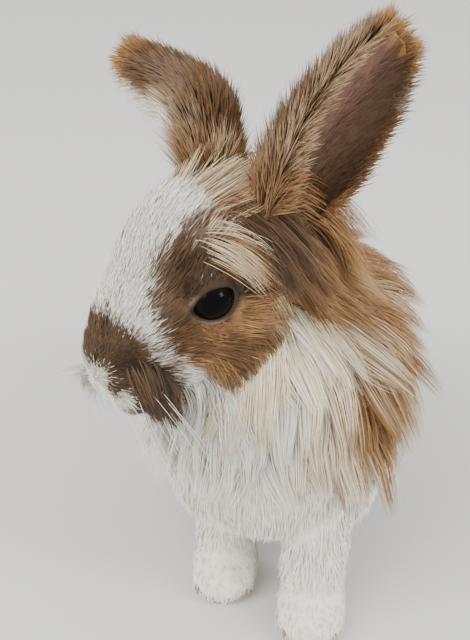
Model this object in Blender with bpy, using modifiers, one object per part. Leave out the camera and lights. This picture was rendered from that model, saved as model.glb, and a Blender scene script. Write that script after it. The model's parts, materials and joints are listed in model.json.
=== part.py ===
"""A lionhead rabbit sitting up on its forelegs, its head turned to its right: a still, life-size model.

Metres, +Z up. The body faces -Y, its left side is +X and the floor is Z = 0.
The origin is on the floor under the middle of the whole model.
"""

import math
import random

import bmesh
import bpy
import numpy as np
from mathutils import Matrix, Vector
from mathutils.bvhtree import BVHTree

GAP = 0.0003
GROWTH = 0.0004
MERGE = 0.000001
ORIGIN_SHIFT = Vector((0.0069, -0.0994, 0.0))
# Faces that meet at more than this stay sharp in the shading.
SHARP_ANGLE = math.radians(40)
DOWN = Vector((0.0, 0.0, -1.0))
FRONT = Vector((0.0, -1.0, 0.0))

# The trunk, from chest to rump: place along Y, height of the middle, half width, reach above and below it.
TRUNK = (
    (-0.012, 0.078, 0.018, 0.022, 0.022),
    (-0.006, 0.078, 0.031, 0.034, 0.036),
    (0.012, 0.079, 0.043, 0.043, 0.048),
    (0.038, 0.080, 0.047, 0.046, 0.050),
    (0.072, 0.078, 0.050, 0.048, 0.050),
    (0.108, 0.073, 0.054, 0.050, 0.052),
    (0.142, 0.066, 0.054, 0.047, 0.052),
    (0.168, 0.058, 0.046, 0.041, 0.046),
    (0.188, 0.050, 0.032, 0.030, 0.034),
    (0.199, 0.046, 0.012, 0.012, 0.016),
)
HAUNCH = {"centre": (0.036, 0.130, 0.048), "radii": (0.026, 0.046, 0.046)}
SHOULDER = {"centre": (0.028, 0.026, 0.072), "radii": (0.021, 0.030, 0.040)}
RUFF = {"centre": (0.000, 0.022, 0.108), "radii": (0.052, 0.040, 0.042)}
NECK_PATH = ((0.002, 0.050, 0.096), (-0.001, 0.034, 0.116), (-0.008, 0.026, 0.134))
NECK_RADII = (0.046, 0.041, 0.031)
NECK_PLANE = {"point": (0.0, 0.030, 0.098), "normal": (0.0, -0.55, 0.83)}

# Each forepaw: its middle on the floor.
FOREPAW = {"left": (0.0185, -0.005), "right": (-0.0200, 0.017)}
FOREPAW_HALF_WIDTH = 0.0152
FOREPAW_LENGTH = 0.034
FOREPAW_TOP = 0.0175
# The paw's path from the wrist to behind the toes: behind the paw's middle, height, share of the half width.
FOREPAW_PATH = ((0.008, 0.0095, 0.92), (-0.002, 0.00874, 1.0), (-0.008, 0.0070, 0.86))
FOREPAW_FLATNESS = 0.66
# The block that the forepaw is cut with: its reach from the paw's middle, low and high.
FOREPAW_CELL = ((-0.0195, -0.030, -0.010), (0.0195, 0.032, FOREPAW_TOP))
# A foot's four toes: their radii, how far the middle ones lie behind the front, how much further the outer
# ones do, their height and the share of the half width they spread over.
TOE_SPREAD = (-1.0, -1 / 3, 1 / 3, 1.0)
FOREPAW_TOES = {
    "radii": (0.0042, 0.0075, 0.0064),
    "inset": 0.0065,
    "curve": 0.0030,
    "height": 0.0064,
    "share": 0.68,
}
HINDFOOT_TOES = {
    "radii": (0.0040, 0.0080, 0.0062),
    "inset": 0.0080,
    "curve": 0.0030,
    "height": 0.0062,
    "share": 0.66,
}
# The foreleg's path up from the paw: outwards, back from the paw's middle, height. It ends in the shoulder.
FORELEG_PATH = ((0.0, 0.006, 0.012), (0.0, 0.009, 0.028), (0.001, 0.014, 0.048))
FORELEG_END = (0.007, 0.028, 0.072)
FORELEG_RADII = (0.0135, 0.0140, 0.0170, 0.0200)
FORELEG_CELL_RADII = (0.0180, 0.0180, 0.0180)
FORELEG_CELL_TOP = 0.042

HINDFOOT_TOE = (0.046, 0.086)
HINDFOOT_HEEL = (0.043, 0.160)
HINDFOOT_HALF_WIDTH = 0.0125
HINDFOOT_TOP = 0.0180
# The foot's path from the heel to behind the toes: its heights and shares of the half width.
HINDFOOT_HEIGHTS = (0.0105, 0.0095, 0.0075)
HINDFOOT_WIDTHS = (0.90, 0.96, 1.0)
HINDFOOT_INSETS = (0.010, 0.014)
HINDFOOT_FLATNESS = 0.74
HINDFOOT_CELL = ((0.022, 0.060, -0.010), (0.072, 0.185, HINDFOOT_TOP))
THIGH_CELL = {"centre": (0.046, 0.130, 0.050), "radii": (0.029, 0.044, 0.044)}

TAIL = {"centre": (0.004, 0.207, 0.036), "radii": (0.020, 0.018, 0.023)}

# A claw starts inside its toe and bends down to a tip clear of the floor.
CLAW_LENGTH = 0.0062
CLAW_ROOT = (0.0035, 0.0004)
CLAW_DROP = 0.0035
CLAW_ARCH = 0.0008
CLAW_MIDDLE = 0.55
CLAW_RADII = (0.0012, 0.00096, 0.0004)
CLAW_SIDES = 6

# The head's own frame is forward, left and up from the point midway between the eyes.
HEAD_PLACE = Vector((-0.0335, 0.0, 0.155))
HEAD_TURN = math.radians(49.0)
HEAD_NOD = math.radians(15.0)

# The skull with its short coat, from nose to nape: forward, middle height, half width, reach above and below.
SKULL = (
    (0.0450, -0.0195, 0.0040, 0.0055, 0.0050),
    (0.0430, -0.0195, 0.0095, 0.0110, 0.0100),
    (0.0375, -0.0190, 0.0135, 0.0185, 0.0140),
    (0.0290, -0.0170, 0.0175, 0.0265, 0.0190),
    (0.0170, -0.0135, 0.0215, 0.0345, 0.0245),
    (0.0050, -0.0090, 0.0243, 0.0390, 0.0290),
    (-0.0080, -0.0055, 0.0260, 0.0400, 0.0320),
    (-0.0220, -0.0030, 0.0268, 0.0370, 0.0330),
    (-0.0350, 0.0000, 0.0250, 0.0300, 0.0320),
    (-0.0450, 0.0020, 0.0180, 0.0200, 0.0240),
    (-0.0500, 0.0030, 0.0070, 0.0080, 0.0100),
)
CHEEK = {"centre": (-0.008, 0.0155, -0.021), "radii": (0.023, 0.013, 0.018)}
MUZZLE = {"centre": (0.0325, 0.0078, -0.0262), "radii": (0.0115, 0.0088, 0.0098)}
CHIN = {"centre": (0.0245, 0.0, -0.0385), "radii": (0.0110, 0.0098, 0.0065)}
BROW = {"centre": (-0.001, 0.0165, 0.0080), "radii": (0.0125, 0.0062, 0.0060)}

EYE_PLACE = (0.0, 0.0185, 0.0)
EYE_RADIUS = 0.0090
LID_THICKNESS = 0.0020
LID_HALF_LENGTH = 0.0079
LID_HALF_HEIGHT = 0.0061
LID_TILT = math.radians(14.0)
LID_FACING = (0.32, 1.0, 0.06)
# The lids' opening is cut between these reaches from the eye's middle, with corners more pointed than round.
LID_CUT = (0.003, 0.020)
LID_FULLNESS = 1.8
EYE_SEGMENTS = 16

# Grooves of the face in the head's frame, each laid on the skin and cut half in.
NOSTRIL = ((0.048, 0.0014, -0.0250), (0.048, 0.0030, -0.0215), (0.047, 0.0056, -0.0190))
NOSTRIL_RADII = (0.0006, 0.0013, 0.0008)
PHILTRUM = ((0.048, 0.0, -0.0245), (0.045, 0.0, -0.0300), (0.041, 0.0, -0.0350))
PHILTRUM_RADII = (0.0006, 0.0007, 0.0007)
MOUTH = (
    (0.022, 0.0135, -0.0345),
    (0.031, 0.0100, -0.0362),
    (0.041, 0.0, -0.0350),
    (0.031, -0.0100, -0.0362),
    (0.022, -0.0135, -0.0345),
)
MOUTH_RADII = (0.0005, 0.0010, 0.0010, 0.0010, 0.0005)

# Each ear in the head's frame: the middle of its back from root to tip, and the way its cup faces.
EAR_THICKNESS = 0.0034
EAR_CURL = (105.0, 44.0)
EAR_ROWS = 12
EAR_COLUMNS = 6
EAR = {
    "left": {
        "half_width": 0.0250,
        "path": (
            (-0.0290, 0.0100, 0.0100),
            (-0.0500, 0.0185, 0.0315),
            (-0.0680, 0.0245, 0.0490),
            (-0.0900, 0.0305, 0.0650),
        ),
        "faces": (0.26, 1.0, 0.30),
    },
    "right": {
        "half_width": 0.0225,
        "path": (
            (-0.0285, -0.0080, 0.0100),
            (-0.0350, -0.0130, 0.0330),
            (-0.0375, -0.0255, 0.0515),
            (-0.0270, -0.0530, 0.0680),
        ),
        "faces": (0.45, -1.0, -0.10),
    },
}

# Locks: how far their roots sink, and their share of full width and thickness from root to tip.
LOCK_SINK = 0.0040
LOCK_WIDTHS = (0.75, 1.00, 0.72, 0.12)
LOCK_THICKNESSES = (1.00, 1.00, 0.80, 0.45)
LOCK_STEPS = 3
LOCK_HANG = 0.65
# How steeply a lock leaves the surface for each metre of its tip's height, and at most.
LOCK_RISE = 45.0
LOCK_STEEPEST = 0.7
# At each step a lock keeps this share of its heading and turns this much to its lie.
LOCK_KEEP = 0.35
LOCK_FOLLOW = 0.25

# The mane hangs in rows round a line from the head down into the ruff.
MANE_AXIS = (Vector((-0.018, 0.014, 0.150)), Vector((0.000, 0.024, 0.078)))
# Each row: how far down that line, number of locks, their length, width, thickness and the tips' height.
MANE_ROWS = (
    (0.002, 13, 0.044, 0.0185, 0.0018, 0.0060),
    (0.020, 14, 0.047, 0.0195, 0.0018, 0.0080),
    (0.039, 15, 0.038, 0.0195, 0.0018, 0.0085),
)
MANE_REACH = 0.078
# Locks grow only this far above the neck's plane and outside the head.
MANE_MARGIN = 0.004
HEAD_MARGIN = 0.001
# They spread from this place of the head and fall, and differ by these shares and this height.
MANE_CENTRE = Vector((-0.015, 0.0, 0.0))
MANE_LIE = (0.55, 0.60)
MANE_JITTER = {"turn": 0.25, "depth": 0.004, "size": 0.15}
# The mane lies flat on the side the head turns to and down the nape: the share of the tips' height there.
MANE_TUCK = {"beyond_x": -0.012, "nape": 0.30, "share": 0.40}

# Tufts in the head's frame: the line of their roots, their lie, number, length, width and tips' height.
CHEEK_TUFTS = {
    "line": ((-0.020, 0.028, -0.004), (-0.016, 0.028, -0.018), (-0.004, 0.026, -0.030), (0.012, 0.017, -0.036)),
    "lie": (-0.55, 0.25, -0.80),
    "count": 7,
    "size": (0.027, 0.0115, 0.0016, 0.0050),
    "hang": 0.65,
}
CROWN_TUFTS = {
    "line": ((-0.020, 0.008, 0.034), (-0.024, 0.0, 0.035), (-0.020, -0.008, 0.034)),
    "lie": (-0.85, 0.0, 0.50),
    "count": 3,
    "size": (0.020, 0.0070, 0.0014, 0.0060),
    "hang": 0.10,
}
LIP_TUFTS = {
    "line": ((0.022, 0.0165, -0.0190), (0.028, 0.0150, -0.0250)),
    "lie": (0.60, 0.75, -0.28),
    "count": 2,
    "size": (0.028, 0.0060, 0.0013, 0.0140),
    "hang": 0.22,
}
# The fringe along both edges of each ear: rows of the ear that carry a lock, and the lock's size.
EAR_FRINGE = {
    "rows": (3, 5, 7, 9),
    "outward": 0.45,
    "along": 0.90,
    "length": 0.0130,
    "width": 0.0070,
    "thickness": 0.0012,
    "sink": 0.0030,
}
TAIL_TUFTS = {
    "aim_back": 0.32,
    "spread": 0.3,
    "jitter": 0.2,
    "lie": (0.0, 0.80, -0.40),
    "count": 8,
    "size": (0.018, 0.0120, 0.0016, 0.0035),
    "hang": 0.15,
}
# Tufts start this far outside the other surfaces, and their sizes differ by this share.
TUFT_MARGIN = 0.002
TUFT_JITTER = 0.15

COAT = {
    "white": ((0.80, 0.76, 0.69), 0.85),
    "cream": ((0.72, 0.58, 0.40), 0.85),
    "tan": ((0.42, 0.26, 0.13), 0.85),
    "brown": ((0.16, 0.09, 0.045), 0.85),
    "eye": ((0.012, 0.010, 0.010), 0.08),
}

# The coat of each node by the first word of its name. The others are white.
NODE_COATS = {"head": "brown", "neck": "cream", "torso": "tan", "tail": "brown", "ear": "brown", "eye": "eye"}

SEED = 11
BODY_VOXEL = 0.0019
HEAD_VOXEL = 0.0013
BODY_TRIANGLES = 2200
HEAD_TRIANGLES = 1400
SMOOTHING = 8
BELOW_FLOOR = ((-0.3, -0.3, -0.1), (0.3, 0.4, 0.0))


def clear_scene():
    for obj in list(bpy.data.objects):
        bpy.data.objects.remove(obj)


def coat_material(name, coat):
    colour, roughness = COAT[coat]
    material = bpy.data.materials.new(name)
    material.use_nodes = True
    shader = material.node_tree.nodes["Principled BSDF"]
    shader.inputs["Base Color"].default_value = (*colour, 1.0)
    shader.inputs["Roughness"].default_value = roughness
    shader.inputs["Metallic"].default_value = 0.0
    return material


def head_matrix():
    """The head's frame in the world: its axes are forward, left and up."""
    forward = Vector((-math.sin(HEAD_TURN), -math.cos(HEAD_TURN), 0.0))
    left = Vector((math.cos(HEAD_TURN), -math.sin(HEAD_TURN), 0.0))
    frame = Matrix((forward, left, Vector((0.0, 0.0, 1.0)))).transposed()
    nod = Matrix.Rotation(HEAD_NOD, 3, "Y")
    return Matrix.Translation(HEAD_PLACE) @ (frame @ nod).to_4x4()


HEAD = head_matrix()


def mirrored(point):
    """The same place on the other side of the head, given in the head's frame."""
    return Vector((point[0], -point[1], point[2]))


def on_side(side, x, y, z=0.0):
    """A point of the body given for the left side, moved to the side asked for."""
    return Vector((x if side == "left" else -x, y, z))


def curve_through(rows, per_span=6):
    """Rows of numbers along a smooth Catmull-Rom curve through the given ones."""
    rows = np.array(rows, float)
    padded = np.vstack([2 * rows[0] - rows[1], rows, 2 * rows[-1] - rows[-2]])
    made = []
    for i in range(len(rows) - 1):
        a, b, c, d = padded[i : i + 4]
        for t in np.linspace(0.0, 1.0, per_span, endpoint=False):
            square = (2 * a - 5 * b + 4 * c - d) * t**2
            cube = (3 * b - a - 3 * c + d) * t**3
            made.append(0.5 * (2 * b + (c - a) * t + square + cube))
    made.append(rows[-1])
    return np.array(made)


def new_object(name, mesh, collection):
    obj = bpy.data.objects.new(name, mesh)
    collection.objects.link(obj)
    return obj


def mesh_of(bm, name):
    bmesh.ops.recalc_face_normals(bm, faces=bm.faces)
    bmesh.ops.triangulate(bm, faces=bm.faces)
    mesh = bpy.data.meshes.new(name)
    bm.to_mesh(mesh)
    bm.free()
    return mesh


def loft(name, rings, collection):
    """A closed form through rings that have the same number of points, with a flat cap at each end."""
    bm = bmesh.new()
    loops = [[bm.verts.new(point) for point in ring] for ring in rings]
    for near, far in zip(loops, loops[1:]):
        count = len(near)
        for i in range(count):
            bm.faces.new((near[i], near[(i + 1) % count], far[(i + 1) % count], far[i]))
    bm.faces.new(loops[0])
    bm.faces.new(loops[-1])
    return new_object(name, mesh_of(bm, name), collection)


def oval_ring(centre, across, up, half_width, above, below, sides=28, fullness=2.4):
    """A ring of points, a little squarer than an ellipse, that reaches further up than down or the reverse."""
    points = []
    for i in range(sides):
        angle = 2 * math.pi * i / sides
        c, s = math.cos(angle), math.sin(angle)
        x = math.copysign(abs(c) ** (2 / fullness), c) * half_width
        z = math.copysign(abs(s) ** (2 / fullness), s) * (above if s > 0 else below)
        points.append(centre + across * x + up * z)
    return points


def ball(name, centre, radii, collection, frame=None, segments=32):
    """An ellipsoid whose axes are the frame's."""
    frame = Matrix.Identity(4) if frame is None else frame
    bm = bmesh.new()
    bmesh.ops.create_uvsphere(bm, u_segments=segments, v_segments=segments * 5 // 8, radius=1.0)
    place = frame @ Matrix.Translation(Vector(centre)) @ Matrix.Diagonal((*radii, 1.0))
    bmesh.ops.transform(bm, matrix=place, verts=bm.verts)
    return new_object(name, mesh_of(bm, name), collection)


def tube(name, points, radii, collection, sides=20, flatness=1.0, per_span=6):
    """A round-ended limb through the points, each with its own radius. Flatness scales it upwards."""
    rows = curve_through([(*p, r) for p, r in zip(points, radii)], per_span)
    path, widths = [Vector(row[:3]) for row in rows], rows[:, 3]
    rings = []
    for i, (point, width) in enumerate(zip(path, widths)):
        along = (path[min(i + 1, len(path) - 1)] - path[max(i - 1, 0)]).normalized()
        side = along.cross(Vector((0.0, 1.0, 0.0)) if abs(along.z) > 0.8 else Vector((0.0, 0.0, 1.0)))
        side.normalize()
        up = side.cross(along)
        made = [(point, width)]
        if i in (0, len(path) - 1):
            outward = -along if i == 0 else along
            for share in (0.92, 0.71, 0.38):
                made.insert(1, (point + outward * width * share, width * math.sqrt(1 - share**2)))
        if i == 0:
            made.reverse()
        for centre, radius in made:
            rings.append(round_ring(centre, side * radius, up * radius * flatness, sides))
    return loft(name, rings, collection)


def round_ring(centre, side, up, sides):
    turns = [2 * math.pi * k / sides for k in range(sides)]
    return [centre + side * math.cos(turn) + up * math.sin(turn) for turn in turns]


def box(name, low, high, collection, frame=None):
    """A block between two corners of the frame given."""
    frame = Matrix.Identity(4) if frame is None else frame
    low, high = Vector(low), Vector(high)
    bm = bmesh.new()
    bmesh.ops.create_cube(bm, size=1.0)
    place = frame @ Matrix.Translation((low + high) / 2) @ Matrix.Diagonal((*(high - low), 1.0))
    bmesh.ops.transform(bm, matrix=place, verts=bm.verts)
    return new_object(name, mesh_of(bm, name), collection)


def beyond_plane(name, point, normal, drop, collection):
    """A large block on the side of a plane that its normal points to, lowered by the drop."""
    normal = Vector(normal).normalized()
    frame = Matrix.Translation(Vector(point)) @ normal.to_track_quat("Z", "X").to_matrix().to_4x4()
    return box(name, (-0.3, -0.3, -drop), (0.3, 0.3, 0.3), collection, frame)


def joined(name, objects, collection):
    """One object that holds copies of the meshes given, which may overlap."""
    bm = bmesh.new()
    for obj in objects:
        bm.from_mesh(obj.data)
    mesh = bpy.data.meshes.new(name)
    bm.to_mesh(mesh)
    bm.free()
    return new_object(name, mesh, collection)


def settle(obj):
    """Replaces the object's mesh with its evaluated one and drops its modifiers."""
    bpy.context.view_layer.update()
    graph = bpy.context.evaluated_depsgraph_get()
    mesh = bpy.data.meshes.new_from_object(obj.evaluated_get(graph))
    obj.modifiers.clear()
    obj.data = mesh
    return obj


def copy_of(obj, name, collection):
    return new_object(name, obj.data.copy(), collection)


def grown(obj, name, collection):
    """A copy whose surface lies a little further out."""
    copy = copy_of(obj, name, collection)
    push = copy.modifiers.new("grow", "DISPLACE")
    push.strength = GROWTH
    push.mid_level = 0.0
    return settle(copy)


def boolean(obj, operation, other, solver="EXACT"):
    """The object united with, cut by or kept within another object or a whole collection."""
    step = obj.modifiers.new(operation.lower(), "BOOLEAN")
    step.operation = operation
    step.solver = solver
    if isinstance(other, bpy.types.Collection):
        step.operand_type = "COLLECTION"
        step.collection = other
    else:
        step.object = other
    return in_triangles(settle(obj), solver == "EXACT")


def in_triangles(obj, merge):
    """The same surface in flat triangles, with points that coincide merged if asked."""
    bm = bmesh.new()
    bm.from_mesh(obj.data)
    if merge:
        bmesh.ops.remove_doubles(bm, verts=bm.verts, dist=MERGE)
        bmesh.ops.dissolve_degenerate(bm, edges=bm.edges, dist=MERGE)
    bmesh.ops.triangulate(bm, faces=bm.faces)
    bm.to_mesh(obj.data)
    bm.free()
    return obj


def largest_piece(obj):
    """Keeps the object's largest connected surface."""
    bm = bmesh.new()
    bm.from_mesh(obj.data)
    left = set(bm.faces)
    best = set()
    while left:
        island = {left.pop()}
        growing = list(island)
        while growing:
            face = growing.pop()
            for edge in face.edges:
                for other in edge.link_faces:
                    if other in left:
                        left.remove(other)
                        island.add(other)
                        growing.append(other)
        if len(island) > len(best):
            best = island
    stray = [face for face in bm.faces if face not in best]
    bmesh.ops.delete(bm, geom=stray, context="FACES")
    bm.to_mesh(obj.data)
    bm.free()
    return obj


def blended(name, objects, voxel, smoothing, triangles, collection):
    """One skin over overlapping forms, smoothed where they meet, with about that many triangles."""
    obj = joined(name, objects, collection)
    remesh = obj.modifiers.new("union", "REMESH")
    remesh.mode = "VOXEL"
    remesh.voxel_size = voxel
    soften = obj.modifiers.new("soften", "SMOOTH")
    soften.factor = 0.5
    soften.iterations = smoothing
    settle(obj)
    obj.modifiers.new("triangles", "TRIANGULATE")
    settle(obj)
    thin = obj.modifiers.new("thin", "DECIMATE")
    thin.ratio = min(1.0, triangles / max(1, len(obj.data.polygons)))
    return settle(obj)


def surface_of(objects):
    """A search tree over the faces of several objects."""
    bm = bmesh.new()
    for obj in objects:
        bm.from_mesh(obj.data)
    tree = BVHTree.FromBMesh(bm)
    bm.free()
    return tree


def trunk_forms(bin_):
    rows = curve_through(TRUNK)
    across, up = Vector((1.0, 0.0, 0.0)), Vector((0.0, 0.0, 1.0))
    rings = [
        oval_ring(Vector((0.0, y, z)), across, up, half, above, below)
        for y, z, half, above, below in rows
    ]
    forms = [loft("trunk", rings, bin_)]
    forms.append(tube("neck_form", NECK_PATH, NECK_RADII, bin_))
    forms.append(ball("ruff", RUFF["centre"], RUFF["radii"], bin_))
    for side in ("left", "right"):
        for form in (HAUNCH, SHOULDER):
            forms.append(ball("mass", on_side(side, *form["centre"]), form["radii"], bin_))
        forms += foreleg_forms(side, bin_) + hindfoot_forms(side, bin_)
    return forms


def foreleg_path(side):
    """Up from the paw into the shoulder."""
    x, y = FOREPAW[side]
    sign = 1 if side == "left" else -1
    path = [Vector((x + sign * outward, y + back, height)) for outward, back, height in FORELEG_PATH]
    outward, back, height = FORELEG_END
    return (*path, Vector((x + sign * outward, back, height)))


def forepaw_toes(side):
    """The middle of each toe of a forepaw."""
    x, y = FOREPAW[side]
    front = y - FOREPAW_LENGTH / 2 + FOREPAW_TOES["inset"]
    reach = FOREPAW_HALF_WIDTH * FOREPAW_TOES["share"]
    curve, height = FOREPAW_TOES["curve"], FOREPAW_TOES["height"]
    return [Vector((x + s * reach, front + curve * s * s, height)) for s in TOE_SPREAD]


def foreleg_forms(side, bin_):
    x, y = FOREPAW[side]
    forms = [tube("foreleg", foreleg_path(side), FORELEG_RADII, bin_)]
    path = [(x, y + behind, height) for behind, height, _ in FOREPAW_PATH]
    widths = [FOREPAW_HALF_WIDTH * share for _, _, share in FOREPAW_PATH]
    forms.append(tube("paw", path, widths, bin_, flatness=FOREPAW_FLATNESS))
    for toe in forepaw_toes(side):
        forms.append(ball("toe", toe, FOREPAW_TOES["radii"], bin_))
    return forms


def hindfoot_line(side):
    toe, heel = on_side(side, *HINDFOOT_TOE), on_side(side, *HINDFOOT_HEEL)
    return toe, heel, (toe - heel).normalized()


def hindfoot_toes(side):
    """The middle of each toe of a hind foot."""
    toe, _, along = hindfoot_line(side)
    across = Vector((HINDFOOT_HALF_WIDTH * HINDFOOT_TOES["share"], 0.0, 0.0))
    lift = Vector((0.0, 0.0, HINDFOOT_TOES["height"]))
    insets = [HINDFOOT_TOES["inset"] + HINDFOOT_TOES["curve"] * s * s for s in TOE_SPREAD]
    return [toe - along * inset + across * s + lift for inset, s in zip(insets, TOE_SPREAD)]


def hindfoot_forms(side, bin_):
    toe, heel, along = hindfoot_line(side)
    behind, front = HINDFOOT_INSETS
    path = [heel + along * behind, heel.lerp(toe, 0.5), toe - along * front]
    for point, height in zip(path, HINDFOOT_HEIGHTS):
        point.z = height
    radii = [HINDFOOT_HALF_WIDTH * share for share in HINDFOOT_WIDTHS]
    forms = [tube("foot", path, radii, bin_, flatness=HINDFOOT_FLATNESS)]
    for place in hindfoot_toes(side):
        forms.append(ball("toe", place, HINDFOOT_TOES["radii"], bin_))
    return forms


def head_forms(bin_):
    turn = HEAD.to_3x3()
    across, up = turn @ Vector((0.0, 1.0, 0.0)), turn @ Vector((0.0, 0.0, 1.0))
    rings = [
        oval_ring(HEAD @ Vector((f, 0.0, u)), across, up, half, above, below)
        for f, u, half, above, below in curve_through(SKULL)
    ]
    forms = [loft("skull", rings, bin_)]
    for form in (CHEEK, MUZZLE, BROW):
        for centre in (Vector(form["centre"]), mirrored(form["centre"])):
            forms.append(ball("head_mass", centre, form["radii"], bin_, HEAD))
    forms.append(ball("chin", CHIN["centre"], CHIN["radii"], bin_, HEAD))
    for side in (1, -1):
        forms.append(ball("lids", eye_place(side), (EYE_RADIUS + LID_THICKNESS,) * 3, bin_, HEAD))
    return forms


def eye_place(side):
    return Vector((EYE_PLACE[0], side * EYE_PLACE[1], EYE_PLACE[2]))


def carve_face(head, bin_):
    """Lids parted over each eye, nostrils, the groove of the lip and the line of the mouth."""
    for side in (1, -1):
        socket = ball("socket", eye_place(side), (EYE_RADIUS + GAP,) * 3, bin_, HEAD, EYE_SEGMENTS)
        boolean(head, "DIFFERENCE", socket)
        boolean(head, "DIFFERENCE", lid_opening(side, eye_place(side), bin_))
    skin = surface_of([head])
    grooves = [(NOSTRIL, NOSTRIL_RADII), (PHILTRUM, PHILTRUM_RADII), (MOUTH, MOUTH_RADII)]
    grooves.append(([mirrored(point) for point in NOSTRIL], NOSTRIL_RADII))
    for path, radii in grooves:
        laid = [skin.find_nearest(HEAD @ Vector(point))[0] for point in path]
        boolean(head, "DIFFERENCE", tube("groove", laid, radii, bin_, sides=6, per_span=2))
    return head


def lid_opening(side, place, bin_):
    """An almond prism that opens the lids, its front corner lower than its back one."""
    outward = Vector((LID_FACING[0], side * LID_FACING[1], LID_FACING[2])).normalized()
    tilted = Matrix.Rotation(LID_TILT, 3, "Y") @ Vector((1.0, 0.0, 0.0))
    forward = (tilted - outward * tilted.dot(outward)).normalized()
    up = outward.cross(forward) * -side
    turn = HEAD.to_3x3()
    outward, forward, up = turn @ outward, turn @ forward, turn @ up
    rings = []
    for reach in LID_CUT:
        middle = HEAD @ place + outward * reach
        rings.append(
            oval_ring(middle, forward, up, LID_HALF_LENGTH, LID_HALF_HEIGHT, LID_HALF_HEIGHT, 20, LID_FULLNESS)
        )
    return loft("lid_opening", rings, bin_)


def ear_outline(t):
    """The share of the ear's greatest half width at a share of its length: a long leaf with a round tip."""
    rise = 0.50 + 0.50 * math.sin(math.pi / 2 * min(1.0, t / 0.40))
    fall = math.sqrt(max(0.0, 1 - max(0.0, (t - 0.42) / 0.60) ** 2.3))
    return max(0.10, rise * fall)


def ear_shell(side, bin_):
    """The ear's cup: a leaf curled about its own length, nearly shut at the root and open above."""
    path = [Vector(row) for row in evenly(EAR[side]["path"], EAR_ROWS + 1)]
    facing = Vector(EAR[side]["faces"])
    bm = bmesh.new()
    grid = []
    for i, centre in enumerate(path):
        t = i / EAR_ROWS
        along = (path[min(i + 1, EAR_ROWS)] - path[max(i - 1, 0)]).normalized()
        faces = (facing - along * facing.dot(along)).normalized()
        across = along.cross(faces)
        opened = min(1.0, t * 2.0) ** 0.7
        curl = math.radians(EAR_CURL[0] + (EAR_CURL[1] - EAR_CURL[0]) * opened)
        radius = EAR[side]["half_width"] * ear_outline(t) / curl
        line = []
        for j in range(EAR_COLUMNS + 1):
            angle = (2 * j / EAR_COLUMNS - 1) * curl
            out = across * (radius * math.sin(angle)) + faces * (radius * (1 - math.cos(angle)))
            line.append(bm.verts.new(HEAD @ (centre + out)))
        grid.append(line)
    for low, high in zip(grid, grid[1:]):
        for j in range(EAR_COLUMNS):
            bm.faces.new((low[j], low[j + 1], high[j + 1], high[j]))
    fringe = ear_fringe([[vert.co.copy() for vert in line] for line in grid], facing)
    obj = new_object("ear_" + side, mesh_of(bm, "ear_" + side), bin_)
    thick = obj.modifiers.new("thickness", "SOLIDIFY")
    thick.thickness = EAR_THICKNESS
    thick.offset = 0.0
    settle(obj)
    return with_locks(obj, "UNION", fringe)


def ear_fringe(grid, facing):
    """Short locks that run out of the ear's two edges towards its tip."""
    out = HEAD.to_3x3() @ facing
    paths = []
    for i in EAR_FRINGE["rows"]:
        for edge, inner in ((0, 1), (EAR_COLUMNS, EAR_COLUMNS - 1)):
            root = grid[i][edge]
            outward = (root - grid[i][inner]).normalized()
            along = (grid[i + 1][edge] - grid[i - 1][edge]).normalized()
            lie = (outward * EAR_FRINGE["outward"] + along * EAR_FRINGE["along"]).normalized()
            start = root - outward * EAR_FRINGE["sink"] - along * EAR_FRINGE["sink"]
            steps = [start + lie * (EAR_FRINGE["length"] * k / LOCK_STEPS) for k in range(LOCK_STEPS + 1)]
            flat = outward.cross(along)
            flat = flat if flat.dot(out) > 0 else -flat
            paths.append(([(place, flat) for place in steps], EAR_FRINGE["width"], EAR_FRINGE["thickness"]))
    return paths


def evenly(points, count):
    """That many points at equal steps along the smooth curve through the given ones."""
    line = curve_through(points, 16)
    steps = np.linalg.norm(np.diff(line, axis=0), axis=1)
    reach = np.concatenate([[0.0], np.cumsum(steps)])
    wanted = np.linspace(0.0, reach[-1], count)
    return np.stack([np.interp(wanted, reach, line[:, k]) for k in range(3)], axis=1)


def claws(toes, forward, bin_):
    """A curved claw from the front of each toe, clear of the floor."""
    made = []
    for toe in toes:
        ahead, above = CLAW_ROOT
        root = toe + forward * ahead + Vector((0.0, 0.0, above))
        tip = root + forward * CLAW_LENGTH + DOWN * CLAW_DROP
        middle = root.lerp(tip, CLAW_MIDDLE) + Vector((0.0, 0.0, CLAW_ARCH))
        across = forward.cross(DOWN)
        rings = [
            round_ring(place, across * radius, DOWN * radius, CLAW_SIDES)
            for place, radius in zip((root, middle, tip), CLAW_RADII)
        ]
        made.append(loft("claw", rings, bin_))
    return made


def lock_path(root, lie, length, lift, surfaces, hang=LOCK_HANG):
    """From under the surface at the root, out and along the lie, then hanging clear of the surfaces."""
    step = length / LOCK_STEPS
    facing = surfaces[0].find_nearest(root)[1]
    lie = (lie - facing * lie.dot(facing)).normalized()
    heading = (lie + facing * min(LOCK_STEEPEST, lift * LOCK_RISE)).normalized()
    place = root - facing * LOCK_SINK
    rows = [(place, facing)]
    place = root
    for i in range(1, LOCK_STEPS + 1):
        place = place + heading * step
        for surface in surfaces:
            near, outward, _, _ = surface.find_nearest(place)
            short = lift * i / LOCK_STEPS - (place - near).dot(outward)
            if short > 0:
                place = place + outward * short
                facing = outward
        rows.append((place, facing))
        heading = (heading * LOCK_KEEP + lie * LOCK_FOLLOW + DOWN * hang).normalized()
        near, outward, _, distance = surfaces[-1].find_nearest(place)
        if distance < 2 * lift and heading.dot(outward) < 0:
            heading = (heading - outward * heading.dot(outward)).normalized()
    return rows


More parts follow.
